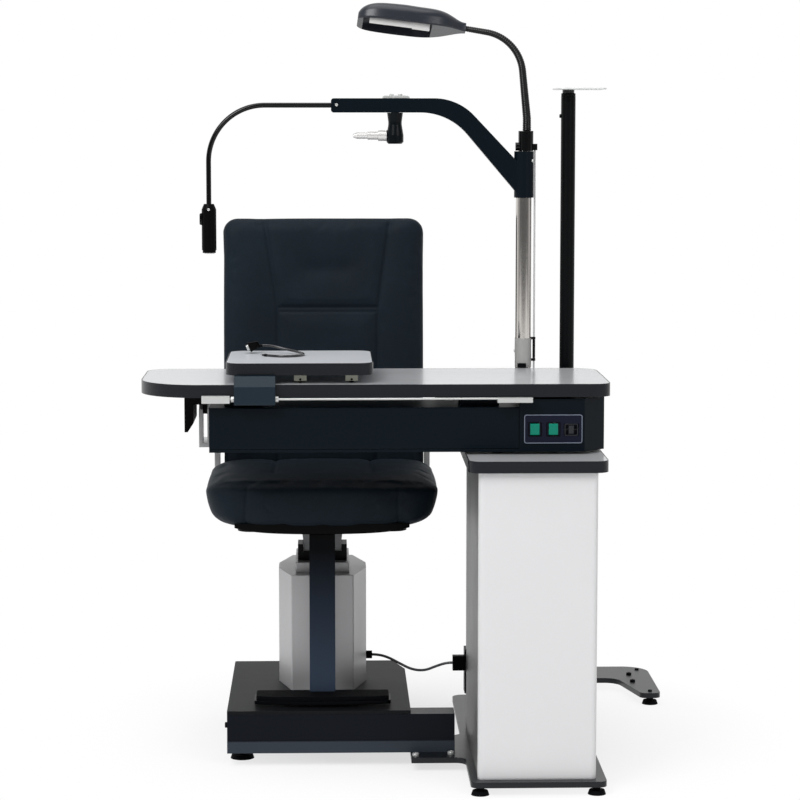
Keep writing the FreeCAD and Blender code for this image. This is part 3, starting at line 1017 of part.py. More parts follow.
def rounded_route(points, shares=None, bend=None):
    """Straight runs joined by tangent arcs: a wire and the radii of its arcs.

    Each arc takes a share of its shorter run, or has the radius that bend gives.
    """
    edges, radii = [], []
    start = points[0]
    for before, corner, after in zip(points, points[1:], points[2:]):
        back, ahead = (before - corner), (after - corner)
        turn = math.pi - back.getAngle(ahead)
        reach = min(back.Length, ahead.Length) * (shares or 0)
        radius = bend if bend else reach / math.tan(turn / 2)
        reach = radius * math.tan(turn / 2)
        back, ahead = V(back).normalize(), V(ahead).normalize()
        first, last = corner + back * reach, corner + ahead * reach
        middle_way = (back + ahead).normalize()
        centre_way = radius / math.cos(turn / 2)
        middle = corner + middle_way * (centre_way - radius)
        edges.append(Part.LineSegment(start, first).toShape())
        edges.append(Part.Arc(first, middle, last).toShape())
        radii.append(radius)
        start = last
    edges.append(Part.LineSegment(start, points[-1]).toShape())
    return Part.Wire(edges), radii


def tube_along(wire, radius):
    """A round solid along a wire."""
    first = wire.Edges[0]
    tangent = first.tangentAt(first.FirstParameter)
    ring_wire = Part.Wire([Part.makeCircle(radius, first.valueAt(first.FirstParameter), tangent)])
    return wire.makePipeShell([ring_wire], True, True)


# Near lamp: a bent gooseneck gripped in the beam end and a slim lamp.
near_route = [spot("beam_end+near_grip", "pole_y", "near_neck_z"),
              spot("near_corner_x", "pole_y", "near_neck_z"),
              spot("near_corner_x", "pole_y", "near_foot_z")]
near_wire, near_radii = rounded_route(near_route, bend=size("near_bend"))
finish(solid("near_neck", tube_along(near_wire, size("near_neck_radius"))), "near_gooseneck")
lamp_tall = "near_lamp_top-near_lamp_bottom-near_nose"
near_body = join("near_lamp_skin",
                 rod("near_barrel", "near_lamp_radius", lamp_tall, "near_corner_x", "pole_y",
                     "near_lamp_bottom"),
                 cone("near_nose_cone", "near_lamp_radius", "near_nose_radius", "near_nose", "near_corner_x",
                      "pole_y", "near_lamp_top-near_nose"),
                 rod("near_lens_disc", "near_lens_radius", "near_lens+edge_round", "near_corner_x", "pole_y",
                     "near_lamp_bottom-near_lens"))
near_socket = rod("near_socket", "near_neck_radius", "near_lamp_top", "near_corner_x", "pole_y",
                  "near_foot_z")
finish(less("near_lamp_shape", near_body, near_socket), "near_lamp")

# Overhead lamp: a bracket on the pole spigot, a ribbed gooseneck, the head and its tube.
bracket_block = rod("lamp_block", "lamp_block_radius", "lamp_block_top-lamp_block_bottom", "lamp_block_x",
                    "pole_y", "lamp_block_bottom")
knob = rod("lamp_knob", "lamp_knob_radius", "lamp_knob_length", "lamp_knob_x", "pole_y", "lamp_knob_z", RIGHT)
lug = block("lamp_lug", "lug_reach-lamp_block_x", "2*lug_half", "lug_high-lug_low", "lamp_block_x",
            "pole_y-lug_half", "lug_low")
spigot_bore = rod("spigot_bore", "spigot_radius", "spigot_height+cut_overrun+slide_gap", "pole_x", "pole_y",
                  "pole_top-cut_overrun")
plug_bore = rod("plug_bore", "neck_plug_radius+running_gap", "neck_plug+slide_gap+cut_overrun", "neck_x",
                "pole_y", "lamp_block_top-neck_plug-slide_gap")
finish(less("lamp_bracket_shape", join("lamp_bracket_body", bracket_block, knob, lug), spigot_bore,
            plug_bore), "lamp_bracket")

neck_route = [spot("neck_x", "pole_y", "lamp_block_top+touch_gap"),
              spot("neck_x", "pole_y", "lamp_block_top+neck_straight"),
              spot("neck_corner_x", "pole_y", "neck_corner_z"), spot("neck_end_x", "pole_y", "neck_end_z")]
neck_wire, neck_radii = rounded_route(neck_route, bend=size("neck_bend"))


length_slack = 1e-6


def along(wire, share):
    """The point and the direction of a wire at a share of its length."""
    left = wire.Length * share
    for edge in wire.Edges:
        if left <= edge.Length + length_slack:
            parameter = edge.getParameterByLength(min(left, edge.Length))
            return edge.valueAt(parameter), edge.tangentAt(parameter)
        left -= edge.Length
    last = wire.Edges[-1]
    return last.valueAt(last.LastParameter), last.tangentAt(last.LastParameter)


rib_shares = (1, 0.35, 0, 0.35)


def ribbed(wire, start_radius, end_radius, ribs, rib_height):
    """A hose with rounded ribs, thinner towards its end."""
    profiles = []
    steps = ribs * len(rib_shares)
    for step in range(steps + 1):
        share = step / steps
        point, tangent = along(wire, share)
        radius = start_radius + (end_radius - start_radius) * share
        radius -= rib_height * rib_shares[step % len(rib_shares)]
        circle = Part.Wire([Part.makeCircle(radius)])
        circle.Placement = FreeCAD.Placement(point, FreeCAD.Rotation(DEEP, V(), tangent, "ZXY"))
        profiles.append(circle)
    return Part.makeLoft(profiles, True, True)


hose = ribbed(neck_wire, size("neck_base_radius"), size("neck_head_radius"), int(size("neck_ribs")),
              size("neck_rib_height"))
plug = Part.makeCylinder(size("neck_plug_radius"), size("neck_plug+touch_gap+edge_round"),
                         spot("neck_x", "pole_y", "lamp_block_top-neck_plug"))
finish(solid("overhead_neck", hose.fuse(plug)), "overhead_gooseneck")

pitch = math.radians(size("head_pitch"))
head_axis = V(-math.cos(pitch), 0, math.sin(pitch))
roll = math.radians(size("head_roll"))
head_up = V(math.sin(pitch), 0, math.cos(pitch)) * math.cos(roll) + DEEP * math.sin(roll)
head_place = FreeCAD.Placement(spot("neck_end_x", "pole_y", "neck_end_z"),
                               FreeCAD.Rotation(head_axis, V(), head_up, "XZY"))
# station along the head, half width, drop and rise, each as a share of its size
head_section_shares = [(0.0, 0.19, 0.55, 0.43), (0.114, 0.48, 0.61, 0.66), (0.192, 0.70, 0.73, 0.89),
                       (0.315, 0.90, 0.91, 1.0), (0.557, 1.0, 1.0, 1.0), (0.74, 1.0, 1.0, 0.94),
                       (0.868, 0.94, 1.0, 0.79), (0.95, 0.80, 1.0, 0.47), (1.0, 0.56, 0.91, -0.09)]
crown_corner_share = 0.62


rim_height_share = 0.25


def head_section(station, half_width, drop, rise, wall=0):
    """A section across the lamp head: a domed top over a low rim, drawn in by the wall."""
    across = half_width * size("head_half_width") - wall
    low, high = -drop * size("head_drop"), rise * size("head_rise") - wall
    if wall:
        low -= size("cut_overrun")
    rim = min(size("head_rim_round"), (high - low) * rim_height_share)
    crown = min(across, high - low - rim) * crown_corner_share
    u = station * size("head_length") - size("head_tail")
    spots = [V(u, -across + rim, low), V(u, across - rim, low), V(u, across, low + rim),
             V(u, across, high - crown), V(u, across - crown, high), V(u, -across + crown, high),
             V(u, -across, high - crown), V(u, -across, low + rim)]
    centres = {1: (V(u, across - rim, low + rim), rim), 3: (V(u, across - crown, high - crown), crown),
               5: (V(u, -across + crown, high - crown), crown), 7: (V(u, -across + rim, low + rim), rim)}
    edges = []
    for number, start in enumerate(spots):
        end = spots[(number + 1) % 8]
        if number in centres:
            centre, radius = centres[number]
            middle = centre + ((start - centre) + (end - centre)).normalize() * radius
            edges.append(Part.Arc(start, middle, end).toShape())
        else:
            edges.append(Part.makeLine(start, end))
    return Part.Wire(edges)


head = Part.makeLoft([head_section(*shares) for shares in head_section_shares], True, False)
hollow = Part.makeLoft([head_section(*shares, size("head_wall")) for shares in head_section_shares[3:8]],
                       True, False)
neck_hole = Part.makeCylinder(size("neck_head_radius+touch_gap"), size("head_tail+cut_overrun+touch_gap"),
                              spot("0-head_tail-cut_overrun", "0", "0"), RIGHT)
lamp_head = solid("lamp_head_shape", head.cut(hollow).cut(neck_hole))
lamp_head.Placement = head_place
finish(lamp_head, "lamp_head")
tube = Part.makeCylinder(size("tube_radius"), size("tube_end-tube_start"), spot("tube_start", "0", "tube_low"),
                         RIGHT)
socket = Part.makeCylinder(size("tube_socket_radius"), size("tube_start-tube_socket_start"),
                           spot("tube_socket_start", "0", "tube_low"), RIGHT)
stalk = Part.makeBox(size("tube_start-tube_socket_start"), size("tube_stalk_width"),
                     size("head_rise-head_wall-touch_gap-tube_low"),
                     spot("tube_socket_start", "0-tube_stalk_width/2", "tube_low"))
lamp_tube = solid("lamp_tube_shape", tube.multiFuse([socket, stalk]))
lamp_tube.Placement = head_place
finish(lamp_tube, "lamp_tube")

# Fittings of the chair cord: a gland on the column and a terminal box behind the cabinet.
gland_x = "chair_x+column_half"
gland = rod("gland_nut", "gland_radius", "gland_length", gland_x, "gland_y", "gland_z", RIGHT)
box_left = f"cabinet_x-{half_cabinet}-edge_round"
box_back = "cabinet_front+cabinet_depth"
terminal = block("terminal_box", "terminal_width", "terminal_depth", "terminal_height", box_left, box_back,
                 "terminal_rise")
finish(group("fitting_set", gland, terminal), "cable_fittings")
plug_x = f"{box_left}-plug_length"
plug_block = block("plug_block", "plug_length", "plug_width", "plug_height", plug_x,
                   f"{box_back}+terminal_depth/2-plug_width/2", "gland_z-plug_height/2")
plug_block = rounded("plug_soft", plug_block, "edge_round", crosswise)
finish(plug_block, "cord_plug")
# steps along the way from the gland to the plug: share of the span across and back, drop in millimetres
cord_sag_shares = [(0.20, 0.11, 0.06), (0.34, 0.27, 0.22), (0.50, 0.49, 0.38), (0.66, 0.71, 0.35),
                   (0.80, 0.89, 0.14)]
cord_start = spot(f"{gland_x}+gland_length", "gland_y", "gland_z")
cord_end = spot(plug_x, f"{box_back}+terminal_depth/2", "gland_z")
cord_depth = size("plug_height") * 2
cord_points = [cord_start, cord_start + RIGHT * size("cord_lead_in")] + [
    cord_start + V((cord_end.x - cord_start.x) * across, (cord_end.y - cord_start.y) * back,
                   -cord_depth * drop) for across, back, drop in cord_sag_shares
] + [cord_end - RIGHT * size("cord_lead_in"), cord_end]
arc_share = 0.45
cord_wire, cord_radii = rounded_route(cord_points, shares=arc_share)
finish(solid("cord_run", tube_along(cord_wire, size("cord_radius"))), "chair_cord")

# Lead that lies on the tray, with its connector.
tray_top = "tray_bottom+tray_thickness"
connector = block("connector_block", "connector_length", "connector_width", "connector_height",
                  "connector_x", "connector_y-connector_width/2", f"{tray_top}+running_gap")
connector = rounded("connector_soft", connector, "edge_round", crosswise)
finish(connector, "lead_connector")
# steps of the lead from the connector: along and towards the front as shares of the tray, and height
lead_route_shares = [(0.09, 0.0, 0.85), (0.155, 0.02, 0.5), (0.24, 0.07, 0.2), (0.30, 0.16, 0.0),
                     (0.29, 0.27, 0.0), (0.21, 0.345, 0.0), (0.11, 0.34, 0.0), (0.04, 0.27, 0.0)]
lead_start = spot("connector_x+connector_length", "connector_y", f"{tray_top}+connector_height/2")
lead_rest = size(f"{tray_top}+lead_radius+touch_gap")
lead_points = [lead_start, lead_start + RIGHT * size("lead_lead_in")] + [
    V(lead_start.x + along_share * size("tray_width"), lead_start.y - front_share * size("tray_depth"),
      lead_rest + rise * (lead_start.z - lead_rest)) for along_share, front_share, rise in lead_route_shares]
lead_wire, lead_radii = rounded_route(lead_points, shares=arc_share)
finish(solid("lead_run", tube_along(lead_wire, size("lead_radius"))), "tray_lead")

for title, wire, radii, points, radius, shape in (
        ("chair cord", cord_wire, cord_radii, cord_points, "cord_radius", "cord_run"),
        ("tray lead", lead_wire, lead_radii, lead_points, "lead_radius", "lead_run")):
    made = doc.getObject(shape).Shape.Volume
    wanted = wire.Length * math.pi * size(radius) ** 2
    print(title, "length", round(wire.Length, 1), "volume share", round(made / wanted, 3),
          "arc radii", [round(value, 1) for value in radii])
    print("points", [tuple(round(value / 1000, 5) for value in point) for point in points])


doc.recompute()
for feature in doc.Objects:
    if "Invalid" in feature.State or "Error" in feature.State:
        raise RuntimeError(f"{feature.Name} failed to build")
os.makedirs("parts", exist_ok=True)
for feature in parts:
    shape = feature.Shape
    if shape.isNull() or not shape.isValid():
        raise RuntimeError(f"{feature.Label} has no valid shape")
    box = shape.BoundBox
    print(f"{feature.Label}: volume {shape.Volume:.0f}, x {box.XMin:.1f}..{box.XMax:.1f}, "
          f"y {box.YMin:.1f}..{box.YMax:.1f}, z {box.ZMin:.1f}..{box.ZMax:.1f}")
    shape.exportStep(f"parts/{feature.Label}.step")
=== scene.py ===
"""The looks of an ophthalmic refraction unit: a lifting chair, a cabinet and a swing table with its poles, arm
and lamps.
"""

import json
import logging
import math
from dataclasses import dataclass, field
from enum import Enum
from typing import Callable, Sequence

import bmesh
import bpy
from mathutils import Matrix, Vector, noise

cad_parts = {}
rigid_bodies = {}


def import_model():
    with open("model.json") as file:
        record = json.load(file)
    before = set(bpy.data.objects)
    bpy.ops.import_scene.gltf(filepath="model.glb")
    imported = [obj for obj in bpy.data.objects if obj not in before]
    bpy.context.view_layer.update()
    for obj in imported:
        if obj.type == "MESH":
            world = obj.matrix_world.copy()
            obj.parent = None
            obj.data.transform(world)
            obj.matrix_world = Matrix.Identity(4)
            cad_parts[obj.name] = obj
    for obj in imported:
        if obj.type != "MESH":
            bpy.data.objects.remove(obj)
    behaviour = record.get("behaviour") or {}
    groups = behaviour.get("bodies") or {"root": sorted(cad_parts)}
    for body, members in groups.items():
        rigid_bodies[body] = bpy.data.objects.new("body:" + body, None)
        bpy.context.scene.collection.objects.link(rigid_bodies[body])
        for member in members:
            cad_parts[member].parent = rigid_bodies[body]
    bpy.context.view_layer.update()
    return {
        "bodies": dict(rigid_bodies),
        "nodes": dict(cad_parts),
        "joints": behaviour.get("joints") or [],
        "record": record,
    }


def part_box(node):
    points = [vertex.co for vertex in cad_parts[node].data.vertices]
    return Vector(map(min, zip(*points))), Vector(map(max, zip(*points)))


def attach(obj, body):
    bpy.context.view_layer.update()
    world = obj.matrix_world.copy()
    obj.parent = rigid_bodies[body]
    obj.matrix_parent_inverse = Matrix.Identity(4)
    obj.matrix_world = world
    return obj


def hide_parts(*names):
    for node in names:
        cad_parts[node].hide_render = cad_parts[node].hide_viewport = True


log = logging.getLogger("refraction_unit")

Point = tuple[float, float, float]
Colour = tuple[float, float, float]
FaceTest = Callable[[Vector, Vector], bool]
EdgeTest = Callable[[Vector, Vector], bool]
Socket = bpy.types.NodeSocket
Given = float | Colour | bpy.types.NodeSocket

DEEP = Vector((0.0, 1.0, 0.0))


def clamped(value: float) -> float:
    """A value held between 0 and 1."""
    return min(1.0, max(0.0, value))


class Body(Enum):
    """The moving bodies of the unit that pieces ride on."""

    BASE = "base"
    LIFT = "lift"
    SEAT = "seat"
    ARM_LEFT = "armrest_left"
    ARM_RIGHT = "armrest_right"
    TABLE = "table"
    DRAWER = "drawer"
    TRAY = "tray"
    REFRACTOR_ARM = "refractor_arm"
    HANGER = "refractor_hanger"
    NEAR_LAMP = "near_lamp"
    OVERHEAD = "overhead_lamp"
    STEM = "projector_stem"
    SHELF = "projector_shelf"


class Shading(Enum):
    """How a finished piece's faces meet."""

    CRISP = 30.0
    SOFT = 60.0
    ROUND = 180.0


# ---------------------------------------------------------------- node graphs


@dataclass
class Graph:
    """Adds nodes to one node tree and joins their sockets.

    Attributes:
        tree: The tree of a material, a world or a group.
    """

    tree: bpy.types.NodeTree

    def node(self, kind: str, **settings: object) -> bpy.types.Node:
        """Adds a node and gives it its settings.

        Args:
            kind: The node's type name, without the ShaderNode part.
            settings: Properties of the node.

        Returns:
            The new node.
        """
        made = self.tree.nodes.new(f"ShaderNode{kind}")
        for key, value in settings.items():
            setattr(made, key, value)
        return made

    def join(self, source: Socket, target: Socket) -> None:
        """Joins an output to an input."""
        self.tree.links.new(source, target)

    def give(self, slot: Socket, value: Given) -> None:
        """Gives an input its value.

        Args:
            slot: The input.
            value: A number, a colour or an output socket.
        """
        if isinstance(value, (int, float)):
            slot.default_value = value
        elif isinstance(value, tuple):
            slot.default_value = (*value, 1.0)
        else:
            self.join(value, slot)

    def place(self) -> Socket:
        """The place on the piece, in the unit's own axes."""
        return self.node("TexCoord").outputs["Object"]

    def parts(self, vector: Socket) -> dict[str, Socket]:
        """The three parts of a vector, by axis."""
        made = self.node("SeparateXYZ")
        self.join(vector, made.inputs[0])
        return made.outputs

    def sum(self, operation: str, first: Given, second: Given) -> Socket:
        """A Math node of two numbers or sockets.

        Args:
            operation: The Math node's operation.
            first: A number or an output socket.
            second: A number or an output socket.

        Returns:
            The result's socket.
        """
        made = self.node("Math", operation=operation)
        self.give(made.inputs[0], first)
        self.give(made.inputs[1], second)
        return made.outputs[0]

    def spread(self, value: Socket, low: float, high: float, start: Given, end: Given) -> Socket:
        """Maps a value from one span to another, clamped.

        Args:
            value: The socket to map.
            low: Where the first span starts.
            high: Where the first span ends.
            start: The result at low, a number or a socket.
            end: The result at high, a number or a socket.

        Returns:
            The mapped value's socket.
        """
        made = self.node("MapRange")
        limits = {"Value": value, "From Min": low, "From Max": high, "To Min": start, "To Max": end}
        for name, limit in limits.items():
            self.give(made.inputs[name], limit)
        return made.outputs["Result"]

    def mix(self, blend: str, amount: Given, first: Given, second: Given) -> Socket:
        """A colour mix.

        Args:
            blend: The blend type, such as MIX or MULTIPLY.
            amount: The factor, a number or a socket.
            first: A colour or a socket.
            second: A colour or a socket.

        Returns:
            The mixed colour's socket.
        """
        made = self.node("Mix", data_type="RGBA", blend_type=blend)
        for slot, value in ((0, amount), (6, first), (7, second)):
            self.give(made.inputs[slot], value)
        return made.outputs[2]

    def shade(self, colour: Socket, tone: Socket) -> Socket:
        """A colour times a grey tone."""
        grey = self.node("CombineColor")
        for slot in grey.inputs[:3]:
            self.join(tone, slot)
        return self.mix("MULTIPLY", 1.0, colour, grey.outputs[0])

    def noise_at(self, where: Socket, scale: Given, detail: float, rough: float) -> Socket:
        """A noise value at a place.

        Args:
            where: The vector socket that it reads.
            scale: Its scale, a number or a socket.
            detail: Its detail.
            rough: Its roughness.

        Returns:
            The noise value's socket, from 0 to 1.
        """
        made = self.node("TexNoise")
        for name, value in {"Vector": where, "Scale": scale, "Detail": detail, "Roughness": rough}.items():
            self.give(made.inputs[name], value)
        return made.outputs["Fac"]


@dataclass
class Effects:
    """The shader node groups that several finishes share, each built once.

    Attributes:
        made: The groups by name.
    """

    made: dict[str, bpy.types.NodeTree] = field(default_factory=dict)

    def group(
        self, name: str, inputs: dict[str, Given], outputs: dict[str, str]
    ) -> tuple[Graph, dict[str, Socket], dict[str, Socket]]:
        """Starts a node group with named sockets.

        Args:
            name: The group's name.
            inputs: The inputs' names with their first numbers or colours.
            outputs: The outputs' names with their kinds.

        Returns:
            A graph of the group's tree, the sockets that it is given and those of its result.
        """
        tree = bpy.data.node_groups.new(name, "ShaderNodeTree")
        for label, value in inputs.items():
            kind = "Color" if isinstance(value, tuple) else "Float"
            socket = tree.interface.new_socket(name=label, in_out="INPUT", socket_type=f"NodeSocket{kind}")
            socket.default_value = (*value, 1.0) if isinstance(value, tuple) else value
        for label, kind in outputs.items():
            tree.interface.new_socket(name=label, in_out="OUTPUT", socket_type=f"NodeSocket{kind}")
        self.made[name] = tree
        given, result = tree.nodes.new("NodeGroupInput"), tree.nodes.new("NodeGroupOutput")
        return Graph(tree), given.outputs, result.inputs

    def build(self) -> None:
        """Builds every group."""
        self.build_mottle()
        self.build_wear()
        self.build_grain()
        self.build_hide()
        self.build_dust()

    def build_mottle(self) -> None:
        """Slow changes of tone and gloss over a surface, as handling and cleaning leave."""
        inputs = {"Colour": (0.5, 0.5, 0.5), "Tone": 0.06, "Gloss": 0.4, "Gloss Change": 0.06, "Scale": 6.0}
        graph, given, result = self.group("slow_mottle", inputs, {"Colour": "Color", "Roughness": "Float"})
        slow = graph.noise_at(graph.place(), given["Scale"], 4.0, 0.6)
        fine = graph.noise_at(graph.place(), graph.sum("MULTIPLY", given["Scale"], 7.0), 2.0, 0.5)
        both = graph.sum("ADD", graph.sum("MULTIPLY", slow, 0.75), graph.sum("MULTIPLY", fine, 0.25))
        centred = graph.sum("SUBTRACT", both, 0.5)
        tone = graph.sum("MULTIPLY", centred, graph.sum("MULTIPLY", given["Tone"], 4.0))
        graph.join(graph.shade(given["Colour"], graph.sum("ADD", 1.0, tone)), result["Colour"])
        change = graph.sum("MULTIPLY", centred, graph.sum("MULTIPLY", given["Gloss Change"], 4.0))
        graph.join(graph.sum("ADD", given["Gloss"], change), result["Roughness"])

    def build_wear(self) -> None:
        """Edges: their small rounding as a normal, and a broken paler line where the paint is rubbed."""
        inputs = {"Colour": (0.1, 0.1, 0.1), "Worn": (0.3, 0.3, 0.3), "Amount": 0.4, "Patch": 60.0, "Edge": 0.0012}
        graph, given, result = self.group("rubbed_edges", inputs, {"Colour": "Color", "Rounded": "Vector"})
        rounded = graph.node("Bevel", samples=4)
        graph.join(given["Edge"], rounded.inputs["Radius"])
        turned = graph.node("VectorMath", operation="DOT_PRODUCT")
        graph.join(rounded.outputs[0], turned.inputs[0])
        graph.join(graph.node("NewGeometry").outputs["Normal"], turned.inputs[1])
        sharp = graph.spread(turned.outputs["Value"], 0.86, 0.99, 1.0, 0.0)
        broken = graph.spread(graph.noise_at(graph.place(), given["Patch"], 5.0, 0.65), 0.42, 0.62, 0.0, 1.0)
        mask = graph.sum("MULTIPLY", graph.sum("MULTIPLY", sharp, broken), given["Amount"])
        graph.join(graph.mix("MIX", mask, given["Colour"], given["Worn"]), result["Colour"])
        graph.join(rounded.outputs[0], result["Rounded"])

    def build_grain(self) -> None:
        """The fine orange peel of sprayed paint or the spark grain of a moulding, as a height."""
        inputs = {"Scale": 900.0, "Swell": 60.0, "Mix": 0.7}
        graph, given, result = self.group("spray_grain", inputs, {"Height": "Float"})
        fine = graph.noise_at(graph.place(), given["Scale"], 2.0, 0.5)
        swell = graph.noise_at(graph.place(), given["Swell"], 2.0, 0.5)
        near = graph.sum("MULTIPLY", fine, given["Mix"])
        rest = graph.sum("MULTIPLY", swell, graph.sum("SUBTRACT", 1.0, given["Mix"]))
        graph.join(graph.sum("ADD", near, rest), result["Height"])

    def build_hide(self) -> None:
        """Upholstery cover: small rounded cells with fine creases between them, and their colour, with painted
        shade darkening the creases.
        """
        inputs = {"Colour": (0.02, 0.025, 0.03), "Cells": 700.0, "Contrast": 0.35}
        graph, given, result = self.group("cover_grain", inputs, {"Colour": "Color", "Height": "Float"})
        cells = graph.node("TexVoronoi", feature="DISTANCE_TO_EDGE")
        graph.join(graph.place(), cells.inputs["Vector"])
        graph.join(given["Cells"], cells.inputs["Scale"])
        crease = graph.spread(cells.outputs["Distance"], 0.0, 0.16, 1.0, 0.0)
        slow = graph.noise_at(graph.place(), 9.0, 4.0, 0.6)
        fold = graph.noise_at(graph.place(), 160.0, 3.0, 0.6)
        height = graph.sum("ADD", graph.sum("MULTIPLY", crease, -0.6), graph.sum("MULTIPLY", fold, 0.5))
        # Painted shade: the creases between cells are drawn darker.
        tone = graph.sum("SUBTRACT", 1.0, graph.sum("MULTIPLY", crease, given["Contrast"]))
        tone = graph.sum("MULTIPLY", tone, graph.spread(slow, 0.3, 0.7, 0.88, 1.12))
        graph.join(graph.shade(given["Colour"], tone), result["Colour"])
        graph.join(height, result["Height"])

    def build_dust(self) -> None:
        """A thin veil of dust on what faces up."""
        inputs = {"Colour": (0.1, 0.1, 0.1), "Dust": (0.42, 0.40, 0.38), "Amount": 0.1}
        graph, given, result = self.group("settled_dust", inputs, {"Colour": "Color", "Mask": "Float"})
        normal = graph.parts(graph.node("NewGeometry").outputs["Normal"])
        facing = graph.spread(normal["Z"], 0.35, 0.95, 0.0, 1.0)
        patchy = graph.spread(graph.noise_at(graph.place(), 24.0, 6.0, 0.7), 0.3, 0.75, 0.2, 1.0)
        mask = graph.sum("MULTIPLY", graph.sum("MULTIPLY", facing, patchy), given["Amount"])
        graph.join(graph.mix("MIX", mask, given["Colour"], given["Dust"]), result["Colour"])
        graph.join(mask, result["Mask"])

    def use(self, graph: Graph, name: str, **values: Given) -> dict[str, Socket]:
        """Puts a group into a material with its own values.

        Args:
            graph: The material's graph.
            name: The group's name.
            values: Values or sockets by input name, with underscores for spaces.

        Returns:
            The group node's outputs.
        """
        made = graph.node("Group", node_tree=self.made[name])
        for key, value in values.items():
            graph.give(made.inputs[key.replace("_", " ")], value)
        return made.outputs


# ------------------------------------------------------------------- finishes


@dataclass(frozen=True)
class Finish:
    """A surface: its colour, its gloss and its grain.

    Attributes:
        name: The material's name.
        colour: The colour, linear.
        worn: The colour of rubbed edges, linear.
        wear: How much of the edges is rubbed, 0 to 1.
        tone: How much the tone changes over the surface.
        gloss: The roughness.
        gloss_change: How much the roughness changes.
        specular: The Principled shader's specular level.
        metallic: 1 for bare metal.
        coat: The weight of a clear coat.
        grain: The grain's scale.
        swell: The scale of the slower swell of the surface.
        bump: The grain's height, in metres.
        dust: How much dust lies on what faces up.
        edge: The radius that edges look rounded by, in metres.
    """

    name: str
    colour: Colour
    worn: Colour = (0.05, 0.05, 0.055)
    wear: float = 0.0
    tone: float = 0.008
    gloss: float = 0.34
    gloss_change: float = 0.05
    specular: float = 0.5
    metallic: float = 0.0
    coat: float = 0.0
    grain: float = 900.0
    swell: float = 70.0
    bump: float = 0.00002
    dust: float = 0.0
    edge: float = 0.0012

    def start(self) -> tuple[bpy.types.Material, Graph, bpy.types.Node]:
        """Makes the material with one Principled shader.

        Returns:
            The material, its graph and the shader node.
        """
        material = bpy.data.materials.new(self.name)
        material.use_nodes = True
        graph = Graph(material.node_tree)
        shader = material.node_tree.nodes["Principled BSDF"]
        shader.inputs["Specular IOR Level"].default_value = self.specular
        shader.inputs["Metallic"].default_value = self.metallic
        shader.inputs["Coat Weight"].default_value = self.coat
        shader.inputs["Coat Roughness"].default_value = 0.08
        return material, graph, shader

    def mottled(self, effects: Effects, graph: Graph, colour: Given, scale: float = 6.0) -> dict[str, Socket]:
        """Puts slow changes in tone and gloss over a colour.

        Args:
            effects: The shared node groups.
            graph: The material's graph.
            colour: The colour under the changes.
            scale: The scale of the changes.

        Returns:
            The group's outputs by name.
        """
        gloss = {"Gloss": self.gloss, "Gloss_Change": self.gloss_change}
        return effects.use(graph, "slow_mottle", Colour=colour, Tone=self.tone, Scale=scale, **gloss)

    def build(self, effects: Effects) -> bpy.types.Material:
        """Makes the material out of the shared effects.

        Args:
            effects: The node groups.

        Returns:
            The material.
        """
        material, graph, shader = self.start()
        mottle = self.mottled(effects, graph, self.colour)
        worn = effects.use(
            graph, "rubbed_edges", Colour=mottle["Colour"], Worn=self.worn, Amount=self.wear, Edge=self.edge
        )
        dusty = effects.use(graph, "settled_dust", Colour=worn["Colour"], Amount=self.dust)
        graph.join(dusty["Colour"], shader.inputs["Base Color"])
        rough = graph.sum("ADD", mottle["Roughness"], graph.sum("MULTIPLY", dusty["Mask"], 0.6))
        graph.join(rough, shader.inputs["Roughness"])
        grain = effects.use(graph, "spray_grain", Scale=self.grain, Swell=self.swell)
        bump = graph.node("Bump")
        bump.inputs["Strength"].default_value = 1.0
        bump.inputs["Distance"].default_value = self.bump
        graph.join(grain["Height"], bump.inputs["Height"])
        graph.join(worn["Rounded"], bump.inputs["Normal"])
        graph.join(bump.outputs[0], shader.inputs["Normal"])
        return material


@dataclass(frozen=True)
class ZonedFinish(Finish):
    """A finish that turns into a second colour and gloss along one axis of the unit.

    Attributes:
        axis: The axis, X, Y or Z.
        low: Where the second colour is full, in metres.
        high: Where the first colour is full, in metres.
        floor: Below this the first colour comes back, in metres.
        brink: How far the change takes there, in metres.
        second: The second colour, linear.
        second_gloss: The roughness under the second colour.
        second_metal: The metallic value under the second colour.
    """

    axis: str = "Z"
    low: float = 0.0
    high: float = 1.0
    floor: float = -10.0
    brink: float = 0.0005
    second: Colour = (0.5, 0.5, 0.5)
    second_gloss: float = 0.3
    second_metal: float = 0.0

    def build(self, effects: Effects) -> bpy.types.Material:
        """Makes the material with its two zones.

        Args:
            effects: The node groups.

        Returns:
            The material.
        """
        material = super().build(effects)
        graph = Graph(material.node_tree)
        shader = material.node_tree.nodes["Principled BSDF"]
        along = graph.parts(graph.place())[self.axis]
        under = graph.spread(along, self.low, self.high, 1.0, 0.0)
        over = graph.spread(along, self.floor, self.floor + self.brink, 0.0, 1.0)
        zone = graph.sum("MULTIPLY", under, over)
        colour, rough = (shader.inputs[name].links[0].from_socket for name in ("Base Color", "Roughness"))
        graph.join(graph.mix("MIX", zone, colour, self.second), shader.inputs["Base Color"])
        change = graph.sum("MULTIPLY", zone, graph.sum("SUBTRACT", self.second_gloss, rough))
        graph.join(graph.sum("ADD", rough, change), shader.inputs["Roughness"])
        if self.second_metal != self.metallic:
            graph.join(graph.spread(zone, 0.0, 1.0, self.metallic, self.second_metal), shader.inputs["Metallic"])
        return material


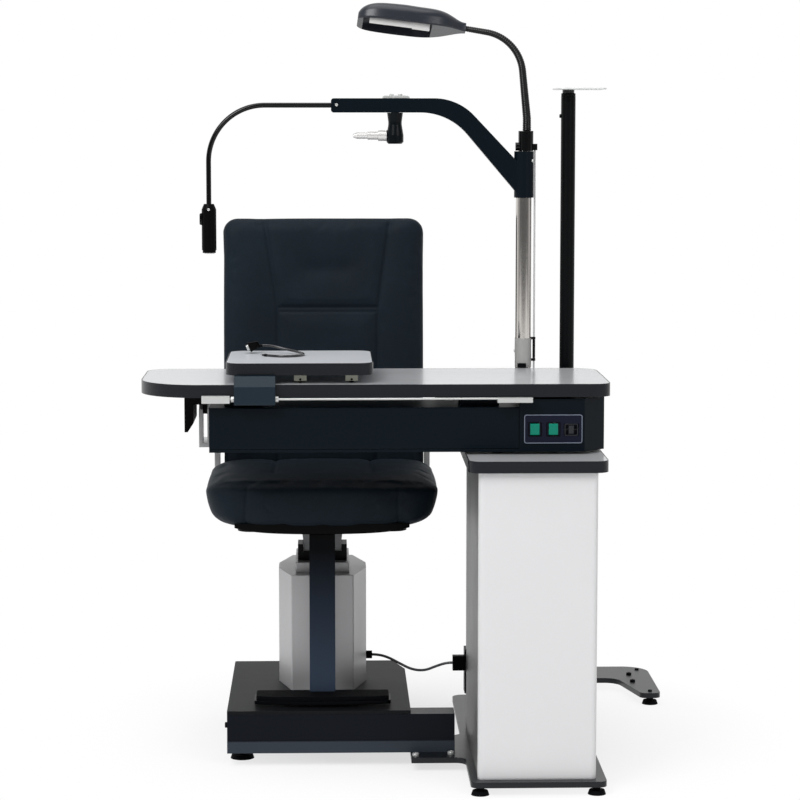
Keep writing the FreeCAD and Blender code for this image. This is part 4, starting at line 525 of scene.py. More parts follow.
@dataclass(frozen=True)
class CoverFinish(Finish):
    """The upholstery cover: a fine-grained cloth-backed cover with soft sheen.

    Attributes:
        cells: The scale of the cover's small cells.
        sheen: The weight of its soft sheen.
    """

    cells: float = 620.0
    sheen: float = 0.05

    def build(self, effects: Effects) -> bpy.types.Material:
        """Makes the cover's material.

        Args:
            effects: The node groups.

        Returns:
            The material.
        """
        material, graph, shader = self.start()
        hide = effects.use(graph, "cover_grain", Colour=self.colour, Cells=self.cells)
        mottle = self.mottled(effects, graph, hide["Colour"], 14.0)
        graph.join(mottle["Colour"], shader.inputs["Base Color"])
        graph.join(mottle["Roughness"], shader.inputs["Roughness"])
        shader.inputs["Sheen Weight"].default_value = self.sheen
        shader.inputs["Sheen Roughness"].default_value = 0.45
        shader.inputs["Sheen Tint"].default_value = (0.75, 0.85, 1.0, 1.0)
        bump = graph.node("Bump")
        bump.inputs["Strength"].default_value = 0.7
        bump.inputs["Distance"].default_value = self.bump
        graph.join(hide["Height"], bump.inputs["Height"])
        graph.join(bump.outputs[0], shader.inputs["Normal"])
        return material


@dataclass(frozen=True)
class GlowFinish(Finish):
    """A lens or a tube that stays pale in its own shade.

    Attributes:
        glow: How strongly it glows.
    """

    glow: float = 0.12

    def build(self, effects: Effects) -> bpy.types.Material:
        """Makes the material of a lens or tube.

        Args:
            effects: The node groups.

        Returns:
            The material.
        """
        material = super().build(effects)
        shader = material.node_tree.nodes["Principled BSDF"]
        shader.inputs["Emission Color"].default_value = (1.0, 1.0, 1.0, 1.0)
        shader.inputs["Emission Strength"].default_value = self.glow
        return material


FINISHES: dict[str, Finish] = {
    finish.name: finish
    for finish in (
        Finish("white_enamel", (0.69, 0.69, 0.70), bump=0.00003, edge=0.007),
        Finish(
            "side_grey", (0.098, 0.098, 0.100), (0.42, 0.42, 0.42), wear=0.1, tone=0.01, gloss=0.42,
            bump=0.00004, dust=0.02,
        ),
        Finish(
            "column_silver", (0.45, 0.45, 0.46), (0.7, 0.7, 0.71), wear=0.1, tone=0.01, gloss=0.36,
            metallic=0.35, bump=0.00004, dust=0.02, edge=0.0025,
        ),
        Finish(
            "navy_coat", (0.0022, 0.0056, 0.0092), (0.05, 0.06, 0.075), wear=0.2, tone=0.006,
            gloss_change=0.015, specular=0.09,
        ),
        # Footrest strut: painted shade darkens it towards the seat above, and a painted reflection makes it paler
        # near its foot.
        ZonedFinish(
            "strut_navy_painted_shade", (0.0006, 0.0010, 0.0016), (0.05, 0.06, 0.075), wear=0.15, tone=0.006,
            gloss_change=0.015, specular=0.06, low=0.16, high=0.46, floor=0.1365,
            second=(0.032, 0.046, 0.074), second_gloss=0.4,
        ),
        # Chair base beam: the band below 54 mm is painted paler, a painted reflection on its lower face.
        ZonedFinish(
            "base_navy_painted_reflection", (0.0018, 0.0034, 0.0075), (0.05, 0.06, 0.075), wear=0.2, tone=0.006,
            gloss_change=0.015, specular=0.12, low=0.054, high=0.057, second=(0.034, 0.043, 0.056),
            second_gloss=0.4,
        ),
        Finish(
            "black_coat", (0.0018, 0.0022, 0.0026), wear=0.2, gloss=0.36, gloss_change=0.015,
            specular=0.10, bump=0.00003,
        ),
        Finish(
            "base_plate", (0.0085, 0.0098, 0.0125), wear=0.2, gloss_change=0.015, specular=0.30,
            bump=0.00003, edge=0.003,
        ),
        Finish(
            "cover_black", (0.0060, 0.0066, 0.0080), (0.04, 0.04, 0.045), wear=0.15, gloss=0.50,
            gloss_change=0.02, specular=0.10, bump=0.00003,
        ),
        Finish(
            "gloss_black", (0.0016, 0.0018, 0.0022), wear=0.1, gloss=0.16, gloss_change=0.02,
            specular=0.30, bump=0.00001,
        ),
        ZonedFinish(
            "hanger_coat", (0.0014, 0.0030, 0.0042), wear=0.2, gloss=0.3, gloss_change=0.015,
            specular=0.12, bump=0.00001, axis="X", low=-0.0690, high=-0.0687, second=(0.78, 0.77, 0.76),
            second_gloss=0.32, second_metal=0.55,
        ),
        Finish("board_face", (0.43, 0.44, 0.455), gloss=0.24, gloss_change=0.03, coat=0.15, grain=400.0),
        Finish("tray_face", (0.56, 0.58, 0.61), tone=0.012, gloss=0.30, gloss_change=0.03, grain=400.0),
        Finish(
            "board_rim", (0.0065, 0.0078, 0.0110), (0.07, 0.07, 0.08), wear=0.15, tone=0.01, gloss=0.26,
            gloss_change=0.015, specular=0.26,
        ),
        Finish(
            "black_moulding", (0.0012, 0.0012, 0.0014), (0.03, 0.03, 0.03), wear=0.1, tone=0.01,
            gloss=0.42, gloss_change=0.02, specular=0.06, grain=1400.0, bump=0.00005,
        ),
        Finish(
            "shade_coat", (0.0180, 0.0210, 0.0290), (0.06, 0.065, 0.08), wear=0.1, gloss=0.27,
            gloss_change=0.02, specular=0.38, bump=0.00001,
        ),
        Finish(
            "grey_coat", (0.26, 0.265, 0.275), (0.4, 0.4, 0.4), wear=0.1, tone=0.02, gloss=0.45,
            bump=0.00006, dust=0.02,
        ),
        Finish(
            "matt_rubber", (0.0012, 0.0015, 0.0024), tone=0.03, gloss=0.66, specular=0.07, grain=600.0,
            bump=0.0001, dust=0.01,
        ),
        Finish(
            "bright_chrome", (0.64, 0.61, 0.58), tone=0.02, gloss=0.10, gloss_change=0.02, metallic=1.0,
            grain=300.0, bump=0.000004,
        ),
        Finish(
            "turned_steel", (0.50, 0.50, 0.50), (0.7, 0.7, 0.7), wear=0.1, tone=0.03, gloss=0.30,
            metallic=1.0, grain=1500.0,
        ),
        Finish(
            "plated_parts", (0.62, 0.63, 0.62), (0.8, 0.8, 0.8), wear=0.1, tone=0.03, gloss=0.36,
            metallic=0.55, grain=1200.0, bump=0.00003,
        ),
        ZonedFinish(
            "shelf_plate", (0.72, 0.73, 0.73), (0.8, 0.8, 0.8), wear=0.1, tone=0.02, gloss=0.36,
            metallic=0.2, grain=1200.0, bump=0.00003, low=1.4535, high=1.4538,
            second=(0.006, 0.0065, 0.0075), second_gloss=0.4,
        ),
        Finish(
            "green_rocker", (0.001, 0.19, 0.125), (0.1, 0.45, 0.35), wear=0.25, tone=0.02, gloss=0.20,
            specular=0.2, grain=300.0, bump=0.00001,
        ),
        Finish(
            "panel_navy", (0.0045, 0.0060, 0.0180), (0.05, 0.06, 0.09), wear=0.1, tone=0.01, gloss=0.42,
            specular=0.16, bump=0.00001,
        ),
        Finish(
            "bracket_navy", (0.0070, 0.0165, 0.0270), (0.07, 0.09, 0.11), wear=0.2, tone=0.006,
            specular=0.22,
        ),
        Finish(
            "toggle_black", (0.012, 0.014, 0.018), (0.1, 0.1, 0.1), wear=0.05, tone=0.04, gloss=0.35,
            bump=0.00006,
        ),
        Finish(
            "panel_line", (0.16, 0.19, 0.25), (0.3, 0.3, 0.3), wear=0.1, tone=0.02, gloss=0.4,
            bump=0.00001,
        ),
        Finish("cream_caster", (0.46, 0.46, 0.37), tone=0.03, gloss=0.4, bump=0.00006),
        Finish(
            "cord_jacket", (0.085, 0.088, 0.095), tone=0.05, gloss=0.3, specular=0.6, grain=1200.0,
            bump=0.00004,
        ),
        Finish("pale_jacket", (0.52, 0.52, 0.53), tone=0.05, gloss=0.42, grain=1200.0, bump=0.00004),
        Finish(
            "lead_jacket", (0.012, 0.012, 0.014), tone=0.03, gloss=0.24, specular=0.7, grain=1200.0,
            bump=0.00003,
        ),
        Finish(
            "film_wrap", (0.34, 0.34, 0.33), tone=0.06, gloss=0.28, gloss_change=0.1, coat=0.3,
            grain=260.0, swell=90.0, bump=0.0009,
        ),
        CoverFinish(
            "chair_cover", (0.0075, 0.0140, 0.0215), tone=0.02, gloss=0.55, gloss_change=0.04,
            specular=0.10, bump=0.00022,
        ),
        GlowFinish("frosted_tube", (0.88, 0.88, 0.86), tone=0.01, gloss=0.2, bump=0.00001),
    )
}

FINISHED_NODES: dict[str, tuple[str, ...]] = {
    "white_enamel": ("cabinet_front_panel",),
    "side_grey": ("cabinet_body",),
    "column_silver": ("armrest_brackets", "column_cover", "lift_column"),
    "navy_coat": ("drawer_front", "pole_bracket", "refractor_arm", "table_housing"),
    "strut_navy_painted_shade": ("footrest_frame",),
    "base_navy_painted_reflection": ("chair_base_beam",),
    "black_coat": ("backrest_bar", "lift_yoke", "projector_mast", "projector_stem", "seat_pan"),
    "base_plate": ("cabinet_base_plate",),
    "cover_black": ("chair_base_cover",),
    "gloss_black": ("lamp_bracket", "near_gooseneck", "overhead_gooseneck"),
    "hanger_coat": ("refractor_hanger",),
    "board_face": ("cabinet_top_board", "tabletop"),
    "tray_face": ("tray_board",),
    "board_rim": ("cabinet_top_edge", "tabletop_edge", "tray_edge"),
    "black_moulding": (
        "armrest_left_pad", "armrest_right_pad", "backrest_shell", "cable_fittings", "cord_plug",
        "lead_connector", "near_lamp",
    ),
    "shade_coat": ("lamp_head",),
    "grey_coat": ("drawer_box", "seat_post"),
    "matt_rubber": ("footrest_mat", "levelling_feet", "roller_left", "roller_right"),
    "bright_chrome": ("chrome_pole",),
    "turned_steel": ("lift_guide_tube", "turntable_base", "turntable_plate"),
    "plated_parts": ("tray_rail",),
    "shelf_plate": ("projector_shelf",),
    "green_rocker": ("rocker_left", "rocker_right"),
    "panel_navy": ("control_panel",),
    "bracket_navy": ("tray_bracket",),
    "toggle_black": ("lift_switch",),
    "cream_caster": ("roller_forks",),
    "cord_jacket": ("chair_cord",),
    "pale_jacket": ("pole_cable",),
    "lead_jacket": ("tray_lead",),
    "chair_cover": ("backrest_cushion", "seat_cushion"),
    "frosted_tube": ("lamp_tube",),
}


@dataclass
class Paintwork:
    """All materials of the unit, made once and handed out by name.

    Attributes:
        effects: The shared node groups.
        made: The materials by name.
    """

    effects: Effects = field(default_factory=Effects)
    made: dict[str, bpy.types.Material] = field(default_factory=dict)

    def build(self) -> None:
        """Builds the shared effects and every finish."""
        self.effects.build()
        for name, finish in FINISHES.items():
            self.made[name] = finish.build(self.effects)
        log.info("materials made: %d", len(self.made))

    def dress(self, piece: bpy.types.Object, name: str) -> None:
        """Gives a piece one finish all over.

        Args:
            piece: A mesh or curve object.
            name: The finish's name.
        """
        slots = piece.data.materials
        if len(slots) == 0:
            slots.append(self.made[name])
        for number in range(len(slots)):
            slots[number] = self.made[name]

    def dress_nodes(self, nodes: dict[str, bpy.types.Object]) -> None:
        """Gives every node of the frame its finish.

        Args:
            nodes: The frame's nodes by name.
        """
        for finish, names in FINISHED_NODES.items():
            for name in names:
                self.dress(nodes[name], finish)
        log.info("nodes dressed: %d", len(nodes))


# --------------------------------------------------------------------- studio


@dataclass(frozen=True)
class LightPlan:
    """A soft square light.

    Attributes:
        name: The light's name.
        place: Where it hangs, in metres.
        aim: What it looks at, in metres.
        size: Its side, in metres.
        power: Its power, in watts.
    """

    name: str
    place: Point
    aim: Point
    size: float
    power: float


LIGHTS: tuple[LightPlan, ...] = (
    LightPlan("key", (-2.6, -3.6, 4.3), (0.0, 0.0, 0.8), 2.6, 190.0),
    LightPlan("fill", (3.4, -4.4, 3.2), (0.0, 0.0, 0.8), 2.4, 70.0),
    LightPlan("overhead", (-0.3, -0.6, 4.6), (0.0, 0.0, 0.5), 3.0, 62.0),
)


@dataclass
class Studio:
    """The camera at the photograph's angle, soft lights, a white surround and a pale floor.

    Attributes:
        camera_place: Where the camera stands, in metres.
        pitch: How far it looks down, in degrees.
        yaw: How far it is turned to the right, in degrees.
        focal: Its focal length, in millimetres.
        sensor: Its sensor's width, in millimetres.
        floor_size: The floor's side, in metres.
        floor_tone: The floor's own grey.
        floor_lift: How much the eye sees the floor lit up.
        ambient: The surround's light on the unit.
        front_dim: How dim the surround's mirror image is at the front.
    """

    camera_place: Point = (-0.199, -5.772, 1.390)
    pitch: float = 6.20
    yaw: float = 1.61
    focal: float = 116.4
    sensor: float = 36.0
    floor_size: float = 24.0
    floor_tone: float = 0.86
    floor_lift: float = 0.16
    ambient: float = 0.36
    front_dim: float = 0.14

    def build_camera(self) -> None:
        """Adds the camera: pitched down a little and turned to the right."""
        lens = bpy.data.cameras.new("view")
        lens.lens = self.focal
        lens.sensor_width = self.sensor
        lens.clip_end = 100.0
        camera = bpy.data.objects.new("view", lens)
        camera.location = self.camera_place
        camera.rotation_euler = (math.radians(90.0 - self.pitch), 0.0, math.radians(-self.yaw))
        bpy.context.scene.collection.objects.link(camera)
        bpy.context.scene.camera = camera
        log.info("camera placed")

    def build_world(self) -> None:
        """White for the eye and for reflections, plain grey light for the rest, and dimmer at the front."""
        world = bpy.data.worlds.new("surround")
        bpy.context.scene.world = world
        world.use_nodes = True
        graph = Graph(world.node_tree)
        world.node_tree.nodes.clear()
        rays = graph.node("LightPath").outputs
        mirrored = graph.sum("MAXIMUM", rays["Is Glossy Ray"], rays["Is Transmission Ray"])
        heading = graph.parts(graph.node("TexCoord").outputs["Generated"])
        room = graph.spread(heading["Y"], -0.6, 0.55, self.front_dim, 1.0)
        seen = graph.sum("MAXIMUM", rays["Is Camera Ray"], graph.sum("MULTIPLY", mirrored, room))
        lit = graph.sum("SUBTRACT", 1.0, graph.sum("MAXIMUM", rays["Is Camera Ray"], mirrored))
        strength = graph.sum("ADD", seen, graph.sum("MULTIPLY", lit, self.ambient))
        back = graph.node("Background")
        back.inputs["Color"].default_value = (1.0, 1.0, 1.0, 1.0)
        graph.join(strength, back.inputs["Strength"])
        graph.join(back.outputs[0], graph.node("OutputWorld").inputs["Surface"])

    def build_floor(self) -> None:
        """Adds the floor, which keeps a soft shadow near the unit and fades to white."""
        bpy.ops.object.select_all(action="DESELECT")
        bpy.ops.mesh.primitive_plane_add(size=self.floor_size, location=(0.0, 0.0, 0.0))
        floor = bpy.context.object
        floor.name = "floor"
        material = bpy.data.materials.new("floor_white")
        material.use_nodes = True
        tree = material.node_tree
        tree.nodes.clear()
        graph = Graph(tree)
        rays = graph.node("LightPath").outputs
        mirrored = graph.sum("MAXIMUM", rays["Is Glossy Ray"], rays["Is Transmission Ray"])
        seen = graph.sum("MAXIMUM", rays["Is Camera Ray"], mirrored)
        away = graph.node("VectorMath", operation="LENGTH")
        graph.join(graph.place(), away.inputs[0])
        far = graph.sum("MULTIPLY", graph.spread(away.outputs["Value"], 0.30, 0.85, 0.60, 1.0), seen)
        paper = graph.node("BsdfDiffuse")
        paper.inputs["Color"].default_value = (*(self.floor_tone,) * 3, 1.0)
        lift = graph.node("Emission")
        graph.join(graph.sum("MULTIPLY", seen, self.floor_lift), lift.inputs["Strength"])
        near = graph.node("AddShader")
        graph.join(paper.outputs[0], near.inputs[0])
        graph.join(lift.outputs[0], near.inputs[1])
        white = graph.node("Emission")
        blend = graph.node("MixShader")
        graph.join(far, blend.inputs[0])
        graph.join(near.outputs[0], blend.inputs[1])
        graph.join(white.outputs[0], blend.inputs[2])
        graph.join(blend.outputs[0], graph.node("OutputMaterial").inputs["Surface"])
        floor.data.materials.append(material)

    def build_lights(self) -> None:
        """Adds three soft lights: the key at the left, a fill at the right and one overhead."""
        for plan in LIGHTS:
            light = bpy.data.lights.new(plan.name, "AREA")
            light.shape = "SQUARE"
            light.size = plan.size
            light.energy = plan.power
            lamp = bpy.data.objects.new(plan.name, light)
            lamp.location = plan.place
            lamp.rotation_mode = "QUATERNION"
            lamp.rotation_quaternion = (Vector(plan.aim) - Vector(plan.place)).to_track_quat("-Z", "Y")
            bpy.context.scene.collection.objects.link(lamp)

    def build(self) -> None:
        """Builds the surround, the floor and the lights."""
        self.build_world()
        self.build_floor()
        self.build_lights()
        bpy.context.scene.view_settings.view_transform = "Standard"
        log.info("studio lit")


# ------------------------------------------------------------------- fittings


@dataclass
class Workshop:
    """Models small fittings with the edit tools and puts them on the unit's bodies.

    Attributes:
        paint: The materials.
    """

    paint: Paintwork

    def block(self, name: str, low: Point, high: Point) -> bpy.types.Object:
        """Starts a block between two corners and opens it for editing.

        Args:
            name: The piece's name.
            low: The lowest corner, in metres.
            high: The highest corner, in metres.

        Returns:
            The object, in edit mode.
        """
        start, end = Vector(low), Vector(high)
        bpy.ops.object.select_all(action="DESELECT")
        bpy.ops.mesh.primitive_cube_add(size=1.0, location=(start + end) / 2, scale=end - start)
        return self.open(name)

    def round(
        self, name: str, place: Point, facing: Point, radius: float, depth: float, sides: int = 24
    ) -> bpy.types.Object:
        """Starts a round piece that stands on a place and opens it for editing.

        Args:
            name: The piece's name.
            place: The middle of its foot, in metres.
            facing: The direction that it stands in.
            radius: Its radius, in metres.
            depth: Its height, in metres.
            sides: How many sides its outline has.

        Returns:
            The object, in edit mode.
        """
        turn = Vector(facing).to_track_quat("Z", "Y")
        centre = Vector(place) + Vector(facing).normalized() * (depth / 2)
        bpy.ops.object.select_all(action="DESELECT")
        bpy.ops.mesh.primitive_cylinder_add(
            vertices=sides, radius=radius, depth=depth, location=centre, rotation=turn.to_euler()
        )
        return self.open(name)

    def open(self, name: str) -> bpy.types.Object:
        """Names the newest primitive, puts its place into its mesh and opens it for editing."""
        piece = bpy.context.object
        piece.name = name
        bpy.ops.object.transform_apply(location=True, rotation=True, scale=True)
        bpy.ops.object.mode_set(mode="EDIT")
        return piece

    def faces(self, piece: bpy.types.Object, test: FaceTest) -> None:
        """Selects the faces whose centre and normal pass a test.

        Args:
            piece: The object in edit mode.
            test: The test of a centre and a normal.
        """
        bpy.ops.mesh.select_mode(type="FACE")
        bpy.ops.mesh.select_all(action="DESELECT")
        mesh = bmesh.from_edit_mesh(piece.data)
        for face in mesh.faces:
            if test(face.calc_center_median(), face.normal):
                face.select_set(True)
        bmesh.update_edit_mesh(piece.data)

    def edges(self, piece: bpy.types.Object, test: EdgeTest) -> None:
        """Selects the edges whose middle and direction pass a test.

        Args:
            piece: The object in edit mode.
            test: The test of a middle and a direction.
        """
        bpy.ops.mesh.select_mode(type="EDGE")
        bpy.ops.mesh.select_all(action="DESELECT")
        mesh = bmesh.from_edit_mesh(piece.data)
        for edge in mesh.edges:
            first, second = (spot.co for spot in edge.verts)
            if test((first + second) / 2, (second - first).normalized()):
                edge.select_set(True)
        bmesh.update_edit_mesh(piece.data)

    def bevel(self, piece: bpy.types.Object, test: EdgeTest, width: float, segments: int) -> None:
        """Rounds the edges that pass a test.

        Args:
            piece: The object in edit mode.
            test: The test of a middle and a direction.
            width: How far the rounding reaches from the edge, in metres.
            segments: How many faces it has across.
        """
        self.edges(piece, test)
        bpy.ops.mesh.bevel(offset=width, segments=segments, affect="EDGES")

    def inset(self, piece: bpy.types.Object, test: FaceTest, *steps: tuple[float, float]) -> None:
        """Insets the faces that pass a test, step after step.

        Args:
            piece: The object in edit mode.
            test: The test of a centre and a normal.
            steps: How far each step goes in and out, in metres.
        """
        self.faces(piece, test)
        for thickness, depth in steps:
            bpy.ops.mesh.inset(thickness=thickness, depth=depth)

    def grow(self, thickness: float, step: Vector) -> None:
        """Insets the selected faces and draws them out along a step."""
        bpy.ops.mesh.inset(thickness=thickness, depth=0.0)
        bpy.ops.mesh.extrude_region_move(TRANSFORM_OT_translate={"value": tuple(step)})

    def shape(self, piece: bpy.types.Object, move: Callable[[Vector], Vector]) -> None:
        """Moves every point of the open piece.

        Args:
            piece: The object in edit mode.
            move: Gives a point's new place.
        """
        bpy.ops.object.mode_set(mode="OBJECT")
        for spot in piece.data.vertices:
            spot.co = move(spot.co)
        bpy.ops.object.mode_set(mode="EDIT")

    def close(
        self, piece: bpy.types.Object, body: Body, finish: str, shading: Shading = Shading.CRISP
    ) -> bpy.types.Object:
        """Leaves edit mode, shades the piece, gives it its finish and its body.

        Args:
            piece: The object in edit mode.
            body: The body that it rides on.
            finish: The finish's name.
            shading: How its faces meet.

        Returns:
            The finished piece.
        """
        bpy.ops.object.mode_set(mode="OBJECT")
        bpy.ops.object.select_all(action="DESELECT")
        piece.select_set(True)
        bpy.context.view_layer.objects.active = piece
        bpy.ops.object.shade_smooth_by_angle(angle=math.radians(shading.value))
        self.paint.dress(piece, finish)
        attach(piece, body.value)
        return piece

    def copy(self, master: bpy.types.Object, name: str, place: Matrix, body: Body, finish: str) -> None:
        """Copies a modelled piece to another place, with its own mesh.

        Args:
            master: The piece that was modelled, about the origin.
            name: The copy's name.
            place: Where it goes.
            body: The body that it rides on.
            finish: The finish's name.
        """
        piece = bpy.data.objects.new(name, master.data.copy())
        piece.data.transform(place)
        bpy.context.scene.collection.objects.link(piece)
        self.paint.dress(piece, finish)
        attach(piece, body.value)


@dataclass(frozen=True)
class ScrewPlace:
    """Where one screw sits.

    Attributes:
        name: The screw's name.
        place: The middle of its seat, in metres.
        facing: The direction that its head faces.
        radius: The head's radius, in metres.
        body: The body that it rides on.
        finish: The finish's name.
    """

    name: str
    place: Point
    facing: Point
    radius: float
    body: Body
    finish: str = "plated_parts"


SCREWS: tuple[ScrewPlace, ...] = (
    ScrewPlace("arm_end_screw", (-0.178, -0.0969, 1.4205), (0.0, -1.0, 0.0), 0.0034, Body.REFRACTOR_ARM),
    ScrewPlace("arm_cap_screw_1", (-0.0575, -0.082, 1.4404), (0.0, 0.0, 1.0), 0.0048, Body.REFRACTOR_ARM),
    ScrewPlace("arm_cap_screw_2", (-0.0385, -0.082, 1.4404), (0.0, 0.0, 1.0), 0.0048, Body.REFRACTOR_ARM),
    ScrewPlace("boss_screw", (0.2506, -0.0942, 1.2990), (0.82, -0.57, 0.0), 0.0036, Body.REFRACTOR_ARM),
    ScrewPlace("near_lamp_screw", (-0.4580, -0.0978, 1.1930), (0.0, -1.0, 0.0), 0.0030, Body.NEAR_LAMP),
    ScrewPlace("mast_screw", (0.3161, -0.0580, 1.3965), (-1.0, 0.0, 0.0), 0.0042, Body.TABLE, "black_coat"),
    ScrewPlace("coupling_bolt_1", (-0.0120, -0.3324, 0.0300), (0.0, 0.0, 1.0), 0.0075, Body.BASE),
    ScrewPlace("coupling_bolt_2", (0.0640, -0.3190, 0.0300), (0.0, 0.0, 1.0), 0.0075, Body.BASE),
    ScrewPlace("pole_foot_screw", (0.2157, -0.0820, 0.8810), (-1.0, 0.0, 0.0), 0.0034, Body.TABLE),
    ScrewPlace("left_foot_knob", (-0.4179, -0.2850, 0.0890), (-1.0, 0.0, 0.0), 0.0062, Body.BASE, "black_coat"),
    ScrewPlace("rear_arm_bolt_1", (0.5400, 0.3900, 0.0300), (0.0, 0.0, 1.0), 0.0065, Body.BASE, "black_coat"),
    ScrewPlace("rear_arm_bolt_2", (0.5400, 0.4700, 0.0300), (0.0, 0.0, 1.0), 0.0065, Body.BASE, "black_coat"),
)


@dataclass(frozen=True)
class BandPlan:
    """A flat frame line on the switch panel.

    Attributes:
        name: The piece's name.
        low: Its lower left corner across and up, in metres.
        high: Its upper right corner across and up, in metres.
        stand: How far it stands out, in metres.
        corner: The radius of its outer corners, in metres.
        width: The line's width, in metres.
        finish: The finish's name.
    """

    name: str
    low: tuple[float, float]
    high: tuple[float, float]
    stand: float
    corner: float
    width: float
    finish: str


BANDS: tuple[BandPlan, ...] = (
    BandPlan("panel_outline", (0.2088, 0.7193), (0.3302, 0.7797), 0.0005, 0.005, 0.0019, "panel_line"),
    BandPlan("rocker_bezel_left", (0.2165, 0.7345), (0.2455, 0.7635), 0.0016, 0.002, 0.0012, "black_moulding"),
    BandPlan("rocker_bezel_right", (0.2550, 0.7345), (0.2840, 0.7635), 0.0016, 0.002, 0.0012, "black_moulding"),
    BandPlan("toggle_bezel", (0.2930, 0.7355), (0.3210, 0.7605), 0.0012, 0.002, 0.0018, "toggle_black"),
)


@dataclass
class Fittings:
    """The screws, bezels, clips, cap and small parts that the frame's nodes don't hold.

    Attributes:
        shop: The workshop.
        panel_face: Where the switch panel's face is along Y, in metres.
        pole: The chrome pole's axis across and back, in metres.
        wrap_foot: Where the pole's wrap starts, in metres.
        wrap_height: How high the wrap is, in metres.
        clip_heights: Where the cable's clips are, in metres.
        rail: The tray rail's axis along Y and Z, in metres.
        sleeve_reach: How far the rail's sleeves stand out, in metres.
        mast_top: The middle of the mast's top, in metres.
        trim_middle: The middle of the seat's trim across, in metres.
        trim_half: Half of the trim's width, in metres.
        trim_low: Its lowest edge, in metres.
        trim_high: Its upper edge, inside the cushion, in metres.
    """

    shop: Workshop
    panel_face: float = -0.4454
    pole: tuple[float, float] = (0.233, -0.082)
    wrap_foot: float = 0.8450
    wrap_height: float = 0.0640
    clip_heights: tuple[float, ...] = (0.8610, 0.9085)
    rail: tuple[float, float] = (-0.461, 0.815)
    sleeve_reach: float = 0.0065
    mast_top: Point = (0.332, -0.058, 1.4402)
    trim_middle: float = -0.212
    trim_half: float = 0.190
    trim_low: float = 0.4945
    trim_high: float = 0.5180

    def screws(self) -> None:
        """Models one socket-head screw and sets a copy of it in each place."""
        shop = self.shop
        master = shop.round("screw_head", (0.0, 0.0, 0.0), (0.0, 0.0, 1.0), 1.0, 0.85, 24)
        shop.bevel(master, lambda middle, along: middle.z > 0.8 and abs(along.z) < 0.5, 0.28, 3)
        shop.inset(master, lambda centre, normal: normal.z > 0.999 and centre.z > 0.8, (0.22, 0.0), (0.02, -0.5))
        bpy.ops.object.mode_set(mode="OBJECT")
        for screw in SCREWS:
            turn = Vector(screw.facing).to_track_quat("Z", "Y").to_matrix().to_4x4()
            place = Matrix.Translation(screw.place) @ turn @ Matrix.Scale(screw.radius, 4)
            shop.copy(master, screw.name, place, screw.body, screw.finish)
        bpy.data.objects.remove(master)
        log.info("screws set: %d", len(SCREWS))

    def panel(self) -> None:
        """The switch panel's outline and the bezels of its switches."""
        shop = self.shop
        for plan in BANDS:
            front = self.panel_face - plan.stand
            low, high = (plan.low[0], front, plan.low[1]), (plan.high[0], self.panel_face, plan.high[1])
            piece = shop.block(plan.name, low, high)
            shop.bevel(piece, lambda middle, along: abs(along.y) > 0.9, plan.corner, 4)
            shop.faces(piece, lambda centre, normal: abs(normal.y) > 0.9)
            bpy.ops.mesh.inset(thickness=plan.width, use_even_offset=True)
            bpy.ops.mesh.bridge_edge_loops()
            shop.bevel(piece, lambda middle, along: middle.y < front + 0.0001, 0.0002, 1)
            bpy.ops.mesh.select_all(action="SELECT")
            bpy.ops.mesh.normals_make_consistent(inside=False)
            shop.close(piece, Body.TABLE, plan.finish)
        log.info("panel fitted")

    def arm_cap(self) -> None:
        """The low arched cap on the beam, over the hanger."""
        shop = self.shop
        cap = shop.block("arm_cap", (-0.0775, -0.0945, 1.4348), (-0.0185, -0.0695, 1.4408))
        shop.bevel(cap, lambda middle, along: abs(along.y) > 0.9 and middle.z > 1.438, 0.0052, 5)
        shop.bevel(cap, lambda middle, along: middle.z > 1.4402, 0.0008, 2)
        shop.close(cap, Body.REFRACTOR_ARM, "plated_parts", Shading.SOFT)

    def near_lamp(self) -> None:
        """The near lamp's rocker on its left side and the lens in its mouth."""
        shop = self.shop
        rocker = shop.block("near_lamp_switch", (-0.4785, -0.0885, 1.1590), (-0.4735, -0.0755, 1.1850))
        shop.bevel(rocker, lambda middle, along: middle.x < -0.478 and abs(along.y) > 0.9, 0.0035, 4)
        shop.bevel(rocker, lambda middle, along: abs(along.y) < 0.5 and middle.x < -0.474, 0.0008, 2)
        shop.close(rocker, Body.NEAR_LAMP, "gloss_black", Shading.SOFT)
        lens = shop.round("near_lamp_lens", (-0.458, -0.082, 1.0984), (0.0, 0.0, -1.0), 0.0115, 0.0022, 32)
        shop.inset(lens, lambda centre, normal: normal.z < -0.9, (0.002, -0.0004), (0.004, 0.0008))
        shop.bevel(lens, lambda middle, along: middle.z < 1.0963, 0.0003, 2)
        shop.close(lens, Body.NEAR_LAMP, "frosted_tube", Shading.SOFT)

    def creased(self, point: Vector) -> Vector:
        """Where a point of the smooth wrap goes once the film has creased and its top edge is torn."""
        away = Vector((point.x - self.pole[0], point.y - self.pole[1]))
        crease = 0.00035 + 0.0005 * noise.noise(point * 160.0)
        x, y = point.x + away.x / away.length * crease, point.y + away.y / away.length * crease
        torn = 0.0022 * noise.noise(Vector((away.x, away.y, 0.3)) * 260.0) if point.z > 0.9 else 0.0
        return Vector((x, y, point.z + torn))

    def pole_wrap(self) -> None:
        """The film that is wrapped round the pole's foot."""
        shop = self.shop
        foot = (*self.pole, self.wrap_foot)
        wrap = shop.round("pole_wrap", foot, (0.0, 0.0, 1.0), 0.01785, self.wrap_height, 48)
        shop.faces(wrap, lambda centre, normal: abs(normal.z) > 0.9)
        bpy.ops.mesh.delete(type="FACE")
        bpy.ops.mesh.select_all(action="SELECT")
        bpy.ops.mesh.subdivide(number_cuts=2)
        shop.shape(wrap, self.creased)
        shop.close(wrap, Body.TABLE, "film_wrap", Shading.ROUND)

